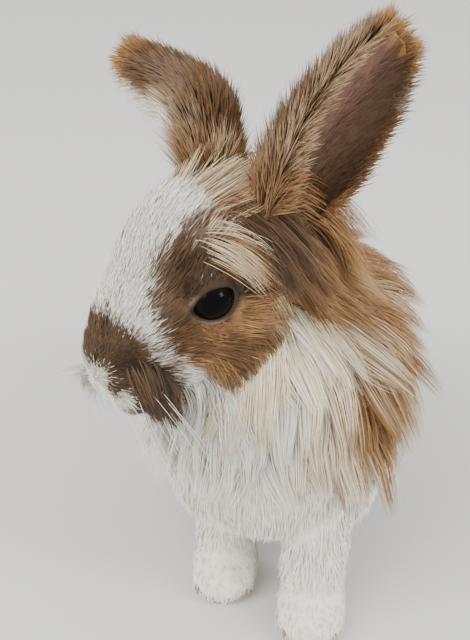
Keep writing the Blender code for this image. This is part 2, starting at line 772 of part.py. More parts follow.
def lock(rows, width, thickness, collection, swell=0.0):
    """A flat lock with a diamond section along the rows of places and facings, tapering to its tip."""
    rings = []
    for i, (place, facing) in enumerate(rows):
        ahead, behind = rows[min(i + 1, LOCK_STEPS)][0], rows[max(i - 1, 0)][0]
        along = (ahead - behind).normalized()
        facing = (facing - along * facing.dot(along)).normalized()
        across = along.cross(facing) * (width * LOCK_WIDTHS[i] / 2 + swell)
        out = facing * (thickness * LOCK_THICKNESSES[i] / 2 + swell)
        if swell:
            place = place + along * (swell if i == LOCK_STEPS else 0.0)
        rings.append([place - across, place + out, place + across, place - out])
    return loft("lock", rings, collection)


def mane_paths(surfaces, chance):
    """The rows of locks round the neck, each with its width and thickness."""
    start, end = MANE_AXIS
    axis = (end - start).normalized()
    first = axis.orthogonal().normalized()
    second = axis.cross(first)
    centre = HEAD @ MANE_CENTRE
    outward, down = MANE_LIE
    turn_off, depth_off, size_off = MANE_JITTER.values()
    paths = []
    for row, (depth, count, length, width, thickness, lift) in enumerate(MANE_ROWS):
        for k in range(count):
            turn = 2 * math.pi * (k + 0.5 * (row % 2) + chance.uniform(-turn_off, turn_off)) / count
            origin = start + axis * (depth + chance.uniform(-depth_off, depth_off))
            hit = surfaces[0].ray_cast(origin, first * math.cos(turn) + second * math.sin(turn), MANE_REACH)
            spread = [chance.uniform(1 - size_off, 1 + size_off) for _ in range(3)]
            if hit[0] is None or not above_neck_plane(hit[0]) or inside(hit[0], surfaces[1], HEAD_MARGIN):
                continue
            lie = (hit[0] - centre).normalized() * outward + DOWN * down
            tucked = hit[0].x < MANE_TUCK["beyond_x"] or hit[1].y > MANE_TUCK["nape"]
            height = lift * spread[1] * (MANE_TUCK["share"] if tucked else 1.0)
            rows = lock_path(hit[0], lie, length * spread[0], height, surfaces)
            paths.append((rows, width * spread[2], thickness))
    return paths


def above_neck_plane(point):
    normal = Vector(NECK_PLANE["normal"]).normalized()
    return (point - Vector(NECK_PLANE["point"])).dot(normal) >= MANE_MARGIN


def inside(point, surface, margin):
    near, outward, _, _ = surface.find_nearest(point)
    return (point - near).dot(outward) < margin


def tuft_paths(facts, surfaces, chance, side=1):
    """A row of locks along a line of the head."""
    length, width, thickness, lift = facts["size"]
    turn = HEAD.to_3x3()
    lie = turn @ Vector((facts["lie"][0], side * facts["lie"][1], facts["lie"][2]))
    paths = []
    for root in evenly([(f, side * l, u) for f, l, u in facts["line"]], facts["count"]):
        root = surfaces[0].find_nearest(HEAD @ Vector(root))[0]
        if any(inside(root, other, TUFT_MARGIN) for other in surfaces[1:]):
            continue
        spread = chance.uniform(1 - TUFT_JITTER, 1 + TUFT_JITTER)
        rows = lock_path(root, lie, length * spread, lift, surfaces, facts["hang"])
        paths.append((rows, width * spread, thickness))
    return paths


def tail_paths(surface, chance):
    """Locks all round the tail, from its root back and down."""
    length, width, thickness, lift = TAIL_TUFTS["size"]
    paths = []
    for k in range(TAIL_TUFTS["count"]):
        step = chance.uniform(-TAIL_TUFTS["jitter"], TAIL_TUFTS["jitter"])
        turn = 2 * math.pi * (k + step) / TAIL_TUFTS["count"]
        aim = Vector((math.cos(turn), TAIL_TUFTS["aim_back"], math.sin(turn)))
        root = surface.ray_cast(Vector(TAIL["centre"]), aim)[0]
        lie = Vector(TAIL_TUFTS["lie"]) + aim * TAIL_TUFTS["spread"]
        rows = lock_path(root, lie, length, lift, [surface], TAIL_TUFTS["hang"])
        paths.append((rows, width, thickness))
    return paths


def with_locks(obj, operation, paths, swell=0.0):
    """One union of the object with a lock for each path, or one cut by them."""
    bunch = bpy.data.collections.new("locks")
    bpy.context.scene.collection.children.link(bunch)
    for rows, width, thickness in paths:
        lock(rows, width, thickness, bunch, swell)
    boolean(obj, operation, bunch, "MANIFOLD")
    for made in list(bunch.objects):
        bpy.data.objects.remove(made)
    bpy.data.collections.remove(bunch)
    return obj


def cut_out(body, name, cell, grown_cell, rabbit):
    """Moves the part of the body inside the cell to a node of its own, with a thin gap all round."""
    node = boolean(copy_of(body, name, rabbit), "INTERSECT", cell)
    boolean(body, "DIFFERENCE", grown_cell)
    return largest_piece(node)


def forepaw_cell(side, extra, bin_):
    x, y = FOREPAW[side]
    low, high = FOREPAW_CELL
    return box(
        "forepaw_cell",
        (x + low[0] - extra, y + low[1], low[2]),
        (x + high[0] + extra, y + high[1], high[2] + extra),
        bin_,
    )


def foreleg_cell(side, extra, bin_):
    path = foreleg_path(side)[:3]
    path[2].z = FORELEG_CELL_TOP
    radii = [radius + extra for radius in FORELEG_CELL_RADII]
    return tube("foreleg_cell", path, radii, bin_, 14, per_span=1)


def hindfoot_cell(side, extra, bin_):
    low, high = HINDFOOT_CELL
    inner, outer = on_side(side, low[0] - extra, *low[1:]), on_side(side, high[0], high[1], high[2] + extra)
    low_x, high_x = sorted((inner.x, outer.x))
    return box("hindfoot_cell", (low_x, inner.y, inner.z), (high_x, outer.y, outer.z), bin_)


def thigh_cell(side, extra, bin_):
    radii = [radius + extra for radius in THIGH_CELL["radii"]]
    return ball("thigh_cell", on_side(side, *THIGH_CELL["centre"]), radii, bin_, None, 16)


CELLS = {"forepaw": forepaw_cell, "foreleg": foreleg_cell, "hindfoot": hindfoot_cell, "thigh": thigh_cell}


def feet_and_legs(body, bin_, rabbit):
    """Parts paws, forelegs, hind feet and thighs from the body, in that order."""
    for side in ("left", "right"):
        made = {}
        for node, cell in CELLS.items():
            name = node + "_" + side
            made[node] = cut_out(body, name, cell(side, 0.0, bin_), cell(side, GAP, bin_), rabbit)
        add_claws(made["forepaw"], claws(forepaw_toes(side), FRONT, bin_))
        add_claws(made["hindfoot"], claws(hindfoot_toes(side), hindfoot_line(side)[2], bin_))


def add_claws(foot, made):
    for claw in made:
        boolean(foot, "UNION", claw)
    return largest_piece(foot)


def build():
    clear_scene()
    scene = bpy.context.scene.collection
    scratch = bpy.data.collections.new("forms")
    rabbit = bpy.data.collections.new("lionhead_rabbit")
    scene.children.link(scratch)
    scene.children.link(rabbit)

    body = blended("torso", trunk_forms(scratch), BODY_VOXEL, SMOOTHING, BODY_TRIANGLES, rabbit)
    boolean(body, "DIFFERENCE", box("floor", *BELOW_FLOOR, scratch))
    head = blended("head", head_forms(scratch), HEAD_VOXEL, SMOOTHING, HEAD_TRIANGLES, rabbit)
    head_growth = grown(head, "head_growth", scratch)
    chance = random.Random(SEED)
    skin, face = surface_of([body]), surface_of([head])
    mane = mane_paths([skin, face], chance)
    tufts = tuft_paths(CROWN_TUFTS, [face], chance)
    tufts += tuft_paths(LIP_TUFTS, [face], chance, -1)
    for side in (1, -1):
        tufts += tuft_paths(CHEEK_TUFTS, [face, skin], chance, side)

    feet_and_legs(body, scratch, rabbit)
    below_neck = grown(body, "below_neck", scratch)
    boolean(below_neck, "DIFFERENCE", beyond_plane("neck_base", *NECK_PLANE.values(), GAP / 3, scratch))
    cells = [beyond_plane("neck_cell", *NECK_PLANE.values(), drop, scratch) for drop in (0.0, GAP)]
    neck = cut_out(body, "neck", *cells, rabbit)
    tail = ball("tail", TAIL["centre"], TAIL["radii"], rabbit, segments=16)
    boolean(body, "DIFFERENCE", grown(tail, "tail_growth", scratch))
    with_locks(tail, "UNION", tail_paths(surface_of([tail]), chance))
    with_locks(neck, "UNION", mane)
    boolean(neck, "DIFFERENCE", head_growth, "MANIFOLD")
    with_locks(neck, "DIFFERENCE", tufts, GROWTH)
    boolean(neck, "DIFFERENCE", below_neck, "MANIFOLD")

    carve_face(head, scratch)
    with_locks(head, "UNION", tufts)
    for sign, side in ((1, "left"), (-1, "right")):
        ball("eye_" + side, eye_place(sign), (EYE_RADIUS,) * 3, rabbit, HEAD, EYE_SEGMENTS)
        ear = boolean(ear_shell(side, rabbit), "DIFFERENCE", head_growth)
        with_locks(ear, "DIFFERENCE", tufts, GROWTH)
    finish_nodes(rabbit)
    for obj in bpy.data.objects:
        if obj.name not in rabbit.objects:
            obj.hide_render = True
            obj.display_type = "WIRE"


def finish_nodes(rabbit):
    for obj in rabbit.objects:
        largest_piece(obj)
        obj.data.transform(Matrix.Translation(ORIGIN_SHIFT))
        obj.data.shade_smooth()
        obj.data.set_sharp_from_angle(angle=SHARP_ANGLE)
        coat = NODE_COATS.get(obj.name.split("_")[0], "white")
        obj.data.materials.clear()
        obj.data.materials.append(coat_material(obj.name, coat))


build()
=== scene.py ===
"""The looks of the lionhead rabbit: skin, coat, eyes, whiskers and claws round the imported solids.

Metres, +Z up. The body faces -Y and its left side is +X. Sizes are given in the body's frame, whose
origin is under the chest, or in the head's frame, whose axes are forward, left and up.
"""

import json
import math

import bmesh
import bpy
import numpy as np
from mathutils import Matrix, Vector
from mathutils.bvhtree import BVHTree
from mathutils.kdtree import KDTree

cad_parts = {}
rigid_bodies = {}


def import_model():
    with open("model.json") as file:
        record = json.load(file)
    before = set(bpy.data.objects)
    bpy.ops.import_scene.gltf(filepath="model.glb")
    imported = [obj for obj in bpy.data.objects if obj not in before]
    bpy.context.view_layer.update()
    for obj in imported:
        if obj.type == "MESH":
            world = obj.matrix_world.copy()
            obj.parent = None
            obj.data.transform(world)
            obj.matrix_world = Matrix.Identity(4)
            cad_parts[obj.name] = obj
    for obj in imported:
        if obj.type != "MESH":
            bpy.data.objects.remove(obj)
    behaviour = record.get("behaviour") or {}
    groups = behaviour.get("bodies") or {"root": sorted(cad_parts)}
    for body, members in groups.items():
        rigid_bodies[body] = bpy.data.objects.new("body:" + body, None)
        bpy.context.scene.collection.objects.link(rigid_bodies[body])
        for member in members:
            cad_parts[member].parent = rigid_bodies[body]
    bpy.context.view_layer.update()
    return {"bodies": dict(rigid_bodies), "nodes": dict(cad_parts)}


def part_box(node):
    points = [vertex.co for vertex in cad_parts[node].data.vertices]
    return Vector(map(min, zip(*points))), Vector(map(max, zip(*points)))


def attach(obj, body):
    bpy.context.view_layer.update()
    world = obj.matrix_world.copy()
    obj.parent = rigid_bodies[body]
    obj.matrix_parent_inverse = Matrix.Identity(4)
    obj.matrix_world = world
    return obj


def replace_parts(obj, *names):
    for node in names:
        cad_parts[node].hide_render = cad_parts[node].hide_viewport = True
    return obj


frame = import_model()

SEED = 7
rng = np.random.default_rng(SEED)
SIDES = {1: "left", -1: "right"}
DOWN = np.array((0.0, 0.0, -1.0))

# The head's frame: forward, left and up from the point midway between the eyes.
HEAD_PLACE = Vector((-0.0335, 0.0, 0.155))
HEAD_TURN = math.radians(49.0)
HEAD_NOD = math.radians(15.0)


def in_metres(table):
    """Numbers in millimetres as an array in metres."""
    return np.array(table) / 1000


def box_middle(node):
    low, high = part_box(node)
    return (low + high) / 2


# The body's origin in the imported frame, from where the two eyes are.
BODY = (box_middle("eye_left") + box_middle("eye_right")) / 2 - HEAD_PLACE


def head_matrix():
    forward = Vector((-math.sin(HEAD_TURN), -math.cos(HEAD_TURN), 0.0))
    left = Vector((math.cos(HEAD_TURN), -math.sin(HEAD_TURN), 0.0))
    turn = Matrix((forward, left, Vector((0.0, 0.0, 1.0)))).transposed()
    nod = Matrix.Rotation(HEAD_NOD, 3, "Y")
    return Matrix.Translation(HEAD_PLACE) @ (turn @ nod).to_4x4()


HEAD = head_matrix()
HEAD_TURNED = np.array(HEAD.to_3x3())
HEAD_ORIGIN = np.array(HEAD_PLACE)


def from_head(points):
    """Points of the head's frame in the body's."""
    return np.asarray(points) @ HEAD_TURNED.T + HEAD_ORIGIN


def to_head(points):
    return (np.asarray(points) - HEAD_ORIGIN) @ HEAD_TURNED


def head_way(way):
    """A direction of the head's frame in the body's."""
    return np.asarray(way) @ HEAD_TURNED.T


# The trunk under its coat, in millimetres: place along Y, height of the middle, half width, reach above
# and below it. The skull is given the same way along the head's forward axis.
TRUNK = (
    (-12, 78, 18, 22, 22),
    (-6, 78, 31, 34, 36),
    (12, 79, 43, 43, 48),
    (38, 80, 47, 46, 50),
    (72, 78, 50, 48, 50),
    (108, 73, 54, 50, 52),
    (142, 66, 54, 47, 52),
    (168, 58, 46, 41, 46),
    (188, 50, 32, 30, 34),
    (199, 46, 12, 12, 16),
)
HAUNCH = ((0.036, 0.130, 0.048), (0.026, 0.046, 0.046))
SHOULDER = ((0.028, 0.026, 0.072), (0.021, 0.030, 0.040))
RUFF = ((0.000, 0.022, 0.108), (0.048, 0.037, 0.040))
NECK_PATH = ((0.002, 0.050, 0.096), (-0.001, 0.034, 0.116), (-0.008, 0.026, 0.134))
NECK_RADII = (0.044, 0.039, 0.031)
FOREPAW = {1: (0.0185, -0.005), -1: (-0.0200, 0.017)}
FOREPAW_HALF_WIDTH = 0.0152
FOREPAW_LENGTH = 0.034
FORELEG_RADII = (0.0135, 0.0140, 0.0170, 0.0200)
HINDFOOT_TOE = (0.046, 0.086)
HINDFOOT_HEEL = (0.043, 0.160)
HINDFOOT_HALF_WIDTH = 0.0125
FORE_TOE = (0.0042, 0.0075, 0.0064)
HIND_TOE = (0.0040, 0.0080, 0.0062)
TOE_SPREAD = [(k - 1.5) / 1.5 for k in range(4)]
TAIL = ((0.004, 0.207, 0.036), (0.016, 0.014, 0.019))
TAIL_MIDDLE = np.array(TAIL[0])
SKULL = (
    (45, -19.5, 4, 5.5, 5),
    (43, -19.5, 9.5, 11, 10),
    (37.5, -19, 13.5, 18.5, 14),
    (29, -17, 17.5, 26.5, 19),
    (17, -13.5, 21.5, 34.5, 24.5),
    (5, -9, 24.3, 39, 29),
    (-8, -5.5, 26, 40, 32),
    (-22, -3, 26.8, 37, 33),
    (-35, 0, 25, 30, 32),
    (-45, 2, 18, 20, 24),
    (-50, 3, 7, 8, 10),
)
CHEEK = ((-0.008, 0.0155, -0.021), (0.023, 0.013, 0.018))
MUZZLE = ((0.0325, 0.0078, -0.0262), (0.0115, 0.0088, 0.0098))
CHIN = ((0.0245, 0.0, -0.0385), (0.0110, 0.0098, 0.0065))
BROW = ((-0.001, 0.0165, 0.0080), (0.0125, 0.0062, 0.0060))

NOSE = np.array((0.0465, 0.0, -0.0235))
EYE = np.array((0.0, 0.0185, 0.0))
ALMOND = 1.8
EYE_RADIUS = 0.0090
LID_THICKNESS = 0.0013
LID_HALF_LENGTH = 0.0079
LID_HALF_HEIGHT = 0.0059
LID_TILT = math.radians(10.0)
LID_FACING = np.array((0.32, 1.0, 0.06))

# Grooves of the face in the head's frame: their line, half width and depth.
GROOVES = (
    (((0.048, 0.0012, -0.0250), (0.048, 0.0030, -0.0212), (0.047, 0.0060, -0.0188)), 0.0012, 0.0016),
    (((0.048, 0.0, -0.0240), (0.045, 0.0, -0.0300), (0.041, 0.0, -0.0350)), 0.0008, 0.0010),
    (((0.041, 0.0, -0.0352), (0.031, 0.0100, -0.0364), (0.022, 0.0135, -0.0345)), 0.0010, 0.0018),
)

EAR_CURL = (math.radians(105.0), math.radians(78.0))
EAR = {
    1: {
        "half_width": 0.0255,
        "path": (
            (-0.0290, 0.0100, 0.0100),
            (-0.0455, 0.0145, 0.0315),
            (-0.0640, 0.0212, 0.0490),
            (-0.0880, 0.0294, 0.0642),
        ),
        "faces": (-0.34, 1.0, 0.22),
        "front": -1.0,
    },
    -1: {
        "half_width": 0.0180,
        "path": (
            (-0.0285, -0.0080, 0.0100),
            (-0.0380, -0.0105, 0.0330),
            (-0.0420, -0.0215, 0.0515),
            (-0.0310, -0.0490, 0.0655),
        ),
        "faces": (0.45, -1.0, -0.10),
        "front": 1.0,
    },
}
EAR_SKIN = 0.0014
EAR_ROWS, EAR_COLUMNS = 90, 44
EAR_STATIONS = 81

# Cells of the voxel blends, and how often each is smoothed.
BODY_CELL, BODY_SMOOTHING = 0.0014, 10
HEAD_CELL, HEAD_SMOOTHING = 0.0009, 9
FIELD_CELL = 0.0024


# Small tools for meshes


def curve_through(rows, per_span=6):
    """Rows of numbers along a smooth Catmull-Rom curve through the given ones."""
    rows = np.array(rows, float)
    padded = np.vstack([2 * rows[0] - rows[1], rows, 2 * rows[-1] - rows[-2]])
    made = []
    for i in range(len(rows) - 1):
        a, b, c, d = padded[i : i + 4]
        for t in np.linspace(0.0, 1.0, per_span, endpoint=False):
            square = (2 * a - 5 * b + 4 * c - d) * t**2
            cube = (3 * b - a - 3 * c + d) * t**3
            made.append(0.5 * (2 * b + (c - a) * t + square + cube))
    made.append(rows[-1])
    return np.array(made)


def evenly(points, count):
    """That many points at equal steps along the smooth curve through the given ones."""
    line = curve_through(points, 16)
    reach = np.concatenate([[0.0], np.cumsum(np.linalg.norm(np.diff(line, axis=0), axis=1))])
    wanted = np.linspace(0.0, reach[-1], count)
    return np.stack([np.interp(wanted, reach, line[:, k]) for k in range(3)], axis=1)


def between(at, rows):
    """The rows at fractional places along them."""
    return np.stack([np.interp(at, np.arange(len(rows)), rows[:, k]) for k in range(3)], axis=1)


def unit(vectors):
    return vectors / np.maximum(np.linalg.norm(vectors, axis=-1, keepdims=True), 1e-12)


def smooth_step(low, high, x):
    t = np.clip((x - low) / (high - low), 0.0, 1.0)
    return t * t * (3 - 2 * t)


def loft_into(bm, rings):
    loops = [[bm.verts.new(tuple(point)) for point in ring] for ring in rings]
    for near, far in zip(loops, loops[1:]):
        count = len(near)
        for i in range(count):
            bm.faces.new((near[i], near[(i + 1) % count], far[(i + 1) % count], far[i]))
    bm.faces.new(loops[0])
    bm.faces.new(loops[-1])


def oval_ring(centre, across, up, half_width, above, below, sides=36, fullness=2.4):
    angle = 2 * math.pi * np.arange(sides) / sides
    c, s = np.cos(angle), np.sin(angle)
    x = np.sign(c) * np.abs(c) ** (2 / fullness) * half_width
    z = np.sign(s) * np.abs(s) ** (2 / fullness) * np.where(s > 0, above, below)
    return centre + np.outer(x, across) + np.outer(z, up)


def ball_into(bm, centre, radii, turn=None, segments=32):
    made = bmesh.ops.create_uvsphere(bm, u_segments=segments, v_segments=segments * 5 // 8, radius=1.0)
    turn = Matrix.Identity(4) if turn is None else turn
    place = turn @ Matrix.Translation(Vector(centre)) @ Matrix.Diagonal((*radii, 1.0))
    bmesh.ops.transform(bm, matrix=place, verts=made["verts"])


def tube_into(bm, points, radii, sides=24, flatness=1.0, per_span=6):
    """A round-ended limb through the points, each with its own radius."""
    rows = curve_through([(*p, r) for p, r in zip(points, radii)], per_span)
    path, widths = rows[:, :3], rows[:, 3]
    turns = 2 * math.pi * np.arange(sides) / sides
    rings = []
    for i in range(len(path)):
        along = unit(path[min(i + 1, len(path) - 1)] - path[max(i - 1, 0)])
        side = unit(np.cross(along, (0.0, 1.0, 0.0) if abs(along[2]) > 0.8 else (0.0, 0.0, 1.0)))
        up = np.cross(side, along)
        made = [(path[i], widths[i])]
        if i in (0, len(path) - 1):
            outward = -along if i == 0 else along
            for share in (0.92, 0.71, 0.38):
                made.insert(1, (path[i] + outward * widths[i] * share, widths[i] * math.sqrt(1 - share**2)))
        if i == 0:
            made.reverse()
        for centre, radius in made:
            ring = np.outer(np.cos(turns), side) + np.outer(np.sin(turns), up * flatness)
            rings.append(centre + ring * radius)
    loft_into(bm, rings)


def arrays_of(obj):
    """The evaluated triangle mesh of an object as arrays: points, triangles and point normals."""
    bpy.context.view_layer.update()
    mesh = obj.evaluated_get(bpy.context.evaluated_depsgraph_get()).to_mesh()
    mesh.calc_loop_triangles()
    points = np.empty(len(mesh.vertices) * 3)
    mesh.vertices.foreach_get("co", points)
    normals = np.empty(len(mesh.vertices) * 3)
    mesh.vertices.foreach_get("normal", normals)
    faces = np.empty(len(mesh.loop_triangles) * 3, np.int32)
    mesh.loop_triangles.foreach_get("vertices", faces)
    return points.reshape(-1, 3), faces.reshape(-1, 3), normals.reshape(-1, 3)


def blended(bm, voxel, smoothing):
    """One skin over overlapping forms, as arrays."""
    bmesh.ops.recalc_face_normals(bm, faces=bm.faces)
    mesh = bpy.data.meshes.new("forms")
    bm.to_mesh(mesh)
    bm.free()
    obj = bpy.data.objects.new("forms", mesh)
    bpy.context.scene.collection.objects.link(obj)
    remesh = obj.modifiers.new("union", "REMESH")
    remesh.mode = "VOXEL"
    remesh.voxel_size = voxel
    soften = obj.modifiers.new("soften", "SMOOTH")
    soften.factor = 0.5
    soften.iterations = smoothing
    made = arrays_of(obj)
    bpy.data.objects.remove(obj)
    return made


def normals_of(points, faces):
    corner = points[faces]
    across = np.cross(corner[:, 1] - corner[:, 0], corner[:, 2] - corner[:, 0])
    normals = np.zeros_like(points)
    for k in range(3):
        np.add.at(normals, faces[:, k], across)
    return unit(normals)


# The forms of the body


def mirror(point, side):
    return (point[0] * side, point[1], point[2])


def foreleg_path(side):
    x, y = FOREPAW[side]
    return (
        (x, y + 0.006, 0.012),
        (x, y + 0.009, 0.028),
        (x + side * 0.001, y + 0.014, 0.048),
        (x + side * 0.007, 0.028, 0.072),
    )


def forepaw_toes(side):
    x, y = FOREPAW[side]
    front = y - FOREPAW_LENGTH / 2
    return [(x + s * FOREPAW_HALF_WIDTH * 0.68, front + 0.0065 + 0.0030 * s * s, 0.0064) for s in TOE_SPREAD]


def hindfoot_line(side):
    toe = np.array((side * HINDFOOT_TOE[0], HINDFOOT_TOE[1], 0.0))
    heel = np.array((side * HINDFOOT_HEEL[0], HINDFOOT_HEEL[1], 0.0))
    return toe, heel, unit(toe - heel)


def hindfoot_toes(side):
    toe, _, along = hindfoot_line(side)
    across = np.array((HINDFOOT_HALF_WIDTH * 0.66, 0.0, 0.0))
    lift = np.array((0.0, 0.0, 0.0062))
    return [toe - along * (0.0080 + 0.0030 * s * s) + across * s + lift for s in TOE_SPREAD]


def body_forms(bm):
    rings = [
        oval_ring(np.array((0.0, y, z)), (1.0, 0.0, 0.0), (0.0, 0.0, 1.0), half, above, below)
        for y, z, half, above, below in curve_through(in_metres(TRUNK))
    ]
    loft_into(bm, rings)
    tube_into(bm, NECK_PATH, NECK_RADII)
    ball_into(bm, *RUFF)
    ball_into(bm, *TAIL)
    for side in SIDES:
        for centre, radii in (HAUNCH, SHOULDER):
            ball_into(bm, mirror(centre, side), radii)
        x, y = FOREPAW[side]
        tube_into(bm, foreleg_path(side), FORELEG_RADII)
        paw = ((x, y + 0.008, 0.0095), (x, y - 0.002, 0.0087), (x, y - 0.008, 0.0070))
        tube_into(bm, paw, [FOREPAW_HALF_WIDTH * share for share in (0.92, 1.0, 0.86)], flatness=0.66)
        for toe in forepaw_toes(side):
            ball_into(bm, toe, FORE_TOE, segments=20)
        toe, heel, along = hindfoot_line(side)
        path = [heel + along * 0.010, (heel + toe) / 2, toe - along * 0.014]
        for point, height in zip(path, (0.0105, 0.0095, 0.0075)):
            point[2] = height
        tube_into(bm, path, [HINDFOOT_HALF_WIDTH * share for share in (0.90, 0.96, 1.0)], flatness=0.74)
        for place in hindfoot_toes(side):
            ball_into(bm, place, HIND_TOE, segments=20)


def head_forms(bm):
    rings = [
        from_head(oval_ring(np.array((f, 0.0, u)), (0.0, 1.0, 0.0), (0.0, 0.0, 1.0), half, above, below))
        for f, u, half, above, below in curve_through(in_metres(SKULL))
    ]
    loft_into(bm, rings)
    for centre, radii in (CHEEK, MUZZLE, BROW):
        for side in SIDES:
            ball_into(bm, (centre[0], side * centre[1], centre[2]), radii, HEAD)
    ball_into(bm, *CHIN, HEAD)
    for side in SIDES:
        ball_into(bm, eye_middle(side), (EYE_RADIUS + LID_THICKNESS,) * 3, HEAD)


def coat_depth(points):
    """How far the body's skin lies under the solids' surface: deep on the trunk, slight on the feet."""
    height = smooth_step(0.018, 0.060, points[:, 2])
    return 0.0007 + 0.0030 * height


def eye_middle(side):
    return EYE * (1, side, 1)


def from_eyes(local):
    """Distance to the nearer eye's middle."""
    return np.min([np.linalg.norm(local - eye_middle(side), axis=1) for side in SIDES], axis=0)


def face_depth(local):
    back = smooth_step(0.034, 0.000, local[:, 0])
    return (0.0006 + 0.0014 * back) * smooth_step(0.0085, 0.0150, from_eyes(local))


def lid_frame(side):
    """Outward, forward and up of one eye's opening, in the head's frame."""
    outward = unit(LID_FACING * (1, side, 1))
    tilted = np.array((math.cos(LID_TILT), 0.0, -math.sin(LID_TILT)))
    forward = unit(tilted - outward * (tilted @ outward))
    up = np.cross(outward, forward) * -side
    return outward, forward, up


def lid_reach(local, side):
    """How far outside the eye's almond opening a point lies, in metres, seen from the eye's middle."""
    outward, forward, up = lid_frame(side)
    way = local - eye_middle(side)
    ahead = way @ outward
    scale = EYE_RADIUS / np.maximum(np.linalg.norm(way, axis=-1), 1e-6)
    x, y = (way @ forward) * scale, (way @ up) * scale
    size = np.abs(x / LID_HALF_LENGTH) ** ALMOND + np.abs(y / LID_HALF_HEIGHT) ** ALMOND
    size = size ** (1 / ALMOND)
    distance = np.linalg.norm(way, axis=-1)
    facing = (ahead > 0.25 * distance) & (distance < EYE_RADIUS * 1.7)
    return np.where(facing, (size - 1) * LID_HALF_HEIGHT, 0.05)


def from_lids(local):
    return np.min([lid_reach(local, side) for side in SIDES], axis=0)


def distance_to_line(points, line):
    """Distance of each point to a polyline."""
    best = np.full(len(points), 1e9)
    for a, b in zip(line[:-1], line[1:]):
        t = np.clip(((points - a) @ (b - a)) / max((b - a) @ (b - a), 1e-12), 0.0, 1.0)
        best = np.minimum(best, np.linalg.norm(points - (a + t[:, None] * (b - a)), axis=1))
    return best


def carve_face(points, normals):
    """Opens the lids over the eyes and presses in the nostrils and the line of the mouth."""
    local = to_head(points)
    local -= to_head(normals + HEAD_ORIGIN) * face_depth(local)[:, None]
    for side in SIDES:
        middle = eye_middle(side)
        way = local - middle
        reach = np.linalg.norm(way, axis=1)
        out = lid_reach(local, side)
        near = (reach < 0.0150) & (out < 0.02)
        rim = EYE_RADIUS + 0.0001 + LID_THICKNESS * np.sqrt(np.clip(out / 0.0016, 0.0, 1.0))
        target = np.where(out > 0, rim, EYE_RADIUS - 0.0022 * smooth_step(0.0, -0.0007, out))
        keep = smooth_step(0.0003, 0.0042, out)
        wanted = target * (1 - keep) + np.maximum(reach, target) * keep
        local[near] = middle + way[near] * (wanted / reach)[near][:, None]
        for line, half, depth in GROOVES:
            line = evenly(np.array(line) * (1, side, 1), 8)
            away = distance_to_line(local, line)
            push = depth * np.exp(-((away / half) ** 2))
            local -= (to_head(normals + HEAD_ORIGIN)) * push[:, None]
    return from_head(local)


def refined(points, faces, near):
    """The mesh with its triangles split where near() says so."""
    bm = bmesh.new()
    verts = [bm.verts.new(p) for p in points]
    for face in faces:
        bm.faces.new([verts[i] for i in face])
    bm.verts.index_update()
    chosen = near(np.array([v.co for v in bm.verts]))
    edges = [e for e in bm.edges if chosen[e.verts[0].index] and chosen[e.verts[1].index]]
    bmesh.ops.subdivide_edges(bm, edges=edges, cuts=1, use_grid_fill=True)
    bmesh.ops.triangulate(bm, faces=bm.faces)
    bm.verts.index_update()
    bm.normal_update()
    points = np.array([v.co for v in bm.verts])
    normals = np.array([v.normal for v in bm.verts])
    faces = np.array([[v.index for v in f.verts] for f in bm.faces], np.int32)
    bm.free()
    return points, faces, normals


def near_face(points):
    local = to_head(points)
    return (from_eyes(local) < 0.0145) & (np.abs(local[:, 1]) > 0.008) | (local[:, 0] > 0.034)


# The ears, each a curled leaf


def ear_outline(t):
    rise = 0.62 + 0.38 * np.sin(math.pi / 2 * np.minimum(1.0, t / 0.32))
    fall = np.sqrt(np.maximum(0.0, 1 - np.maximum(0.0, (t - 0.28) / 0.74) ** 2.0))
    return np.maximum(0.06, rise * fall)


def ear_points(side, t, s):
    """Places, outward normals of the back, ways to the tip and ways to the near edge, in the body's frame.

    t runs from root to tip and s from -1 to 1 across the ear.
    """
    line = evenly(EAR[side]["path"], EAR_STATIONS)
    at = np.clip(t, 0.0, 1.0) * (EAR_STATIONS - 1)
    centre = between(at, line)
    along = unit(between(at, np.gradient(line, axis=0)))
    facing = np.array(EAR[side]["faces"])
    faces = unit(facing - along * (along @ facing)[:, None])
    across = np.cross(along, faces)
    opened = np.minimum(1.0, t * 2.0) ** 0.7
    curl = EAR_CURL[0] + (EAR_CURL[1] - EAR_CURL[0]) * opened
    radius = EAR[side]["half_width"] * ear_outline(t) / curl
    angle = s * curl
    cos, sin = np.cos(angle)[:, None], np.sin(angle)[:, None]
    place = centre + across * (radius[:, None] * sin) + faces * (radius[:, None] * (1 - cos))
    back = across * sin - faces * cos
    edge = across * cos + faces * sin
    return from_head(place), head_way(back), head_way(along), head_way(edge)


def ear_grid():
    along, across = np.linspace(0.0, 1.0, EAR_ROWS), np.linspace(-1.0, 1.0, EAR_COLUMNS)
    t, s = np.meshgrid(along, across, indexing="ij")
    return t.ravel(), s.ravel()


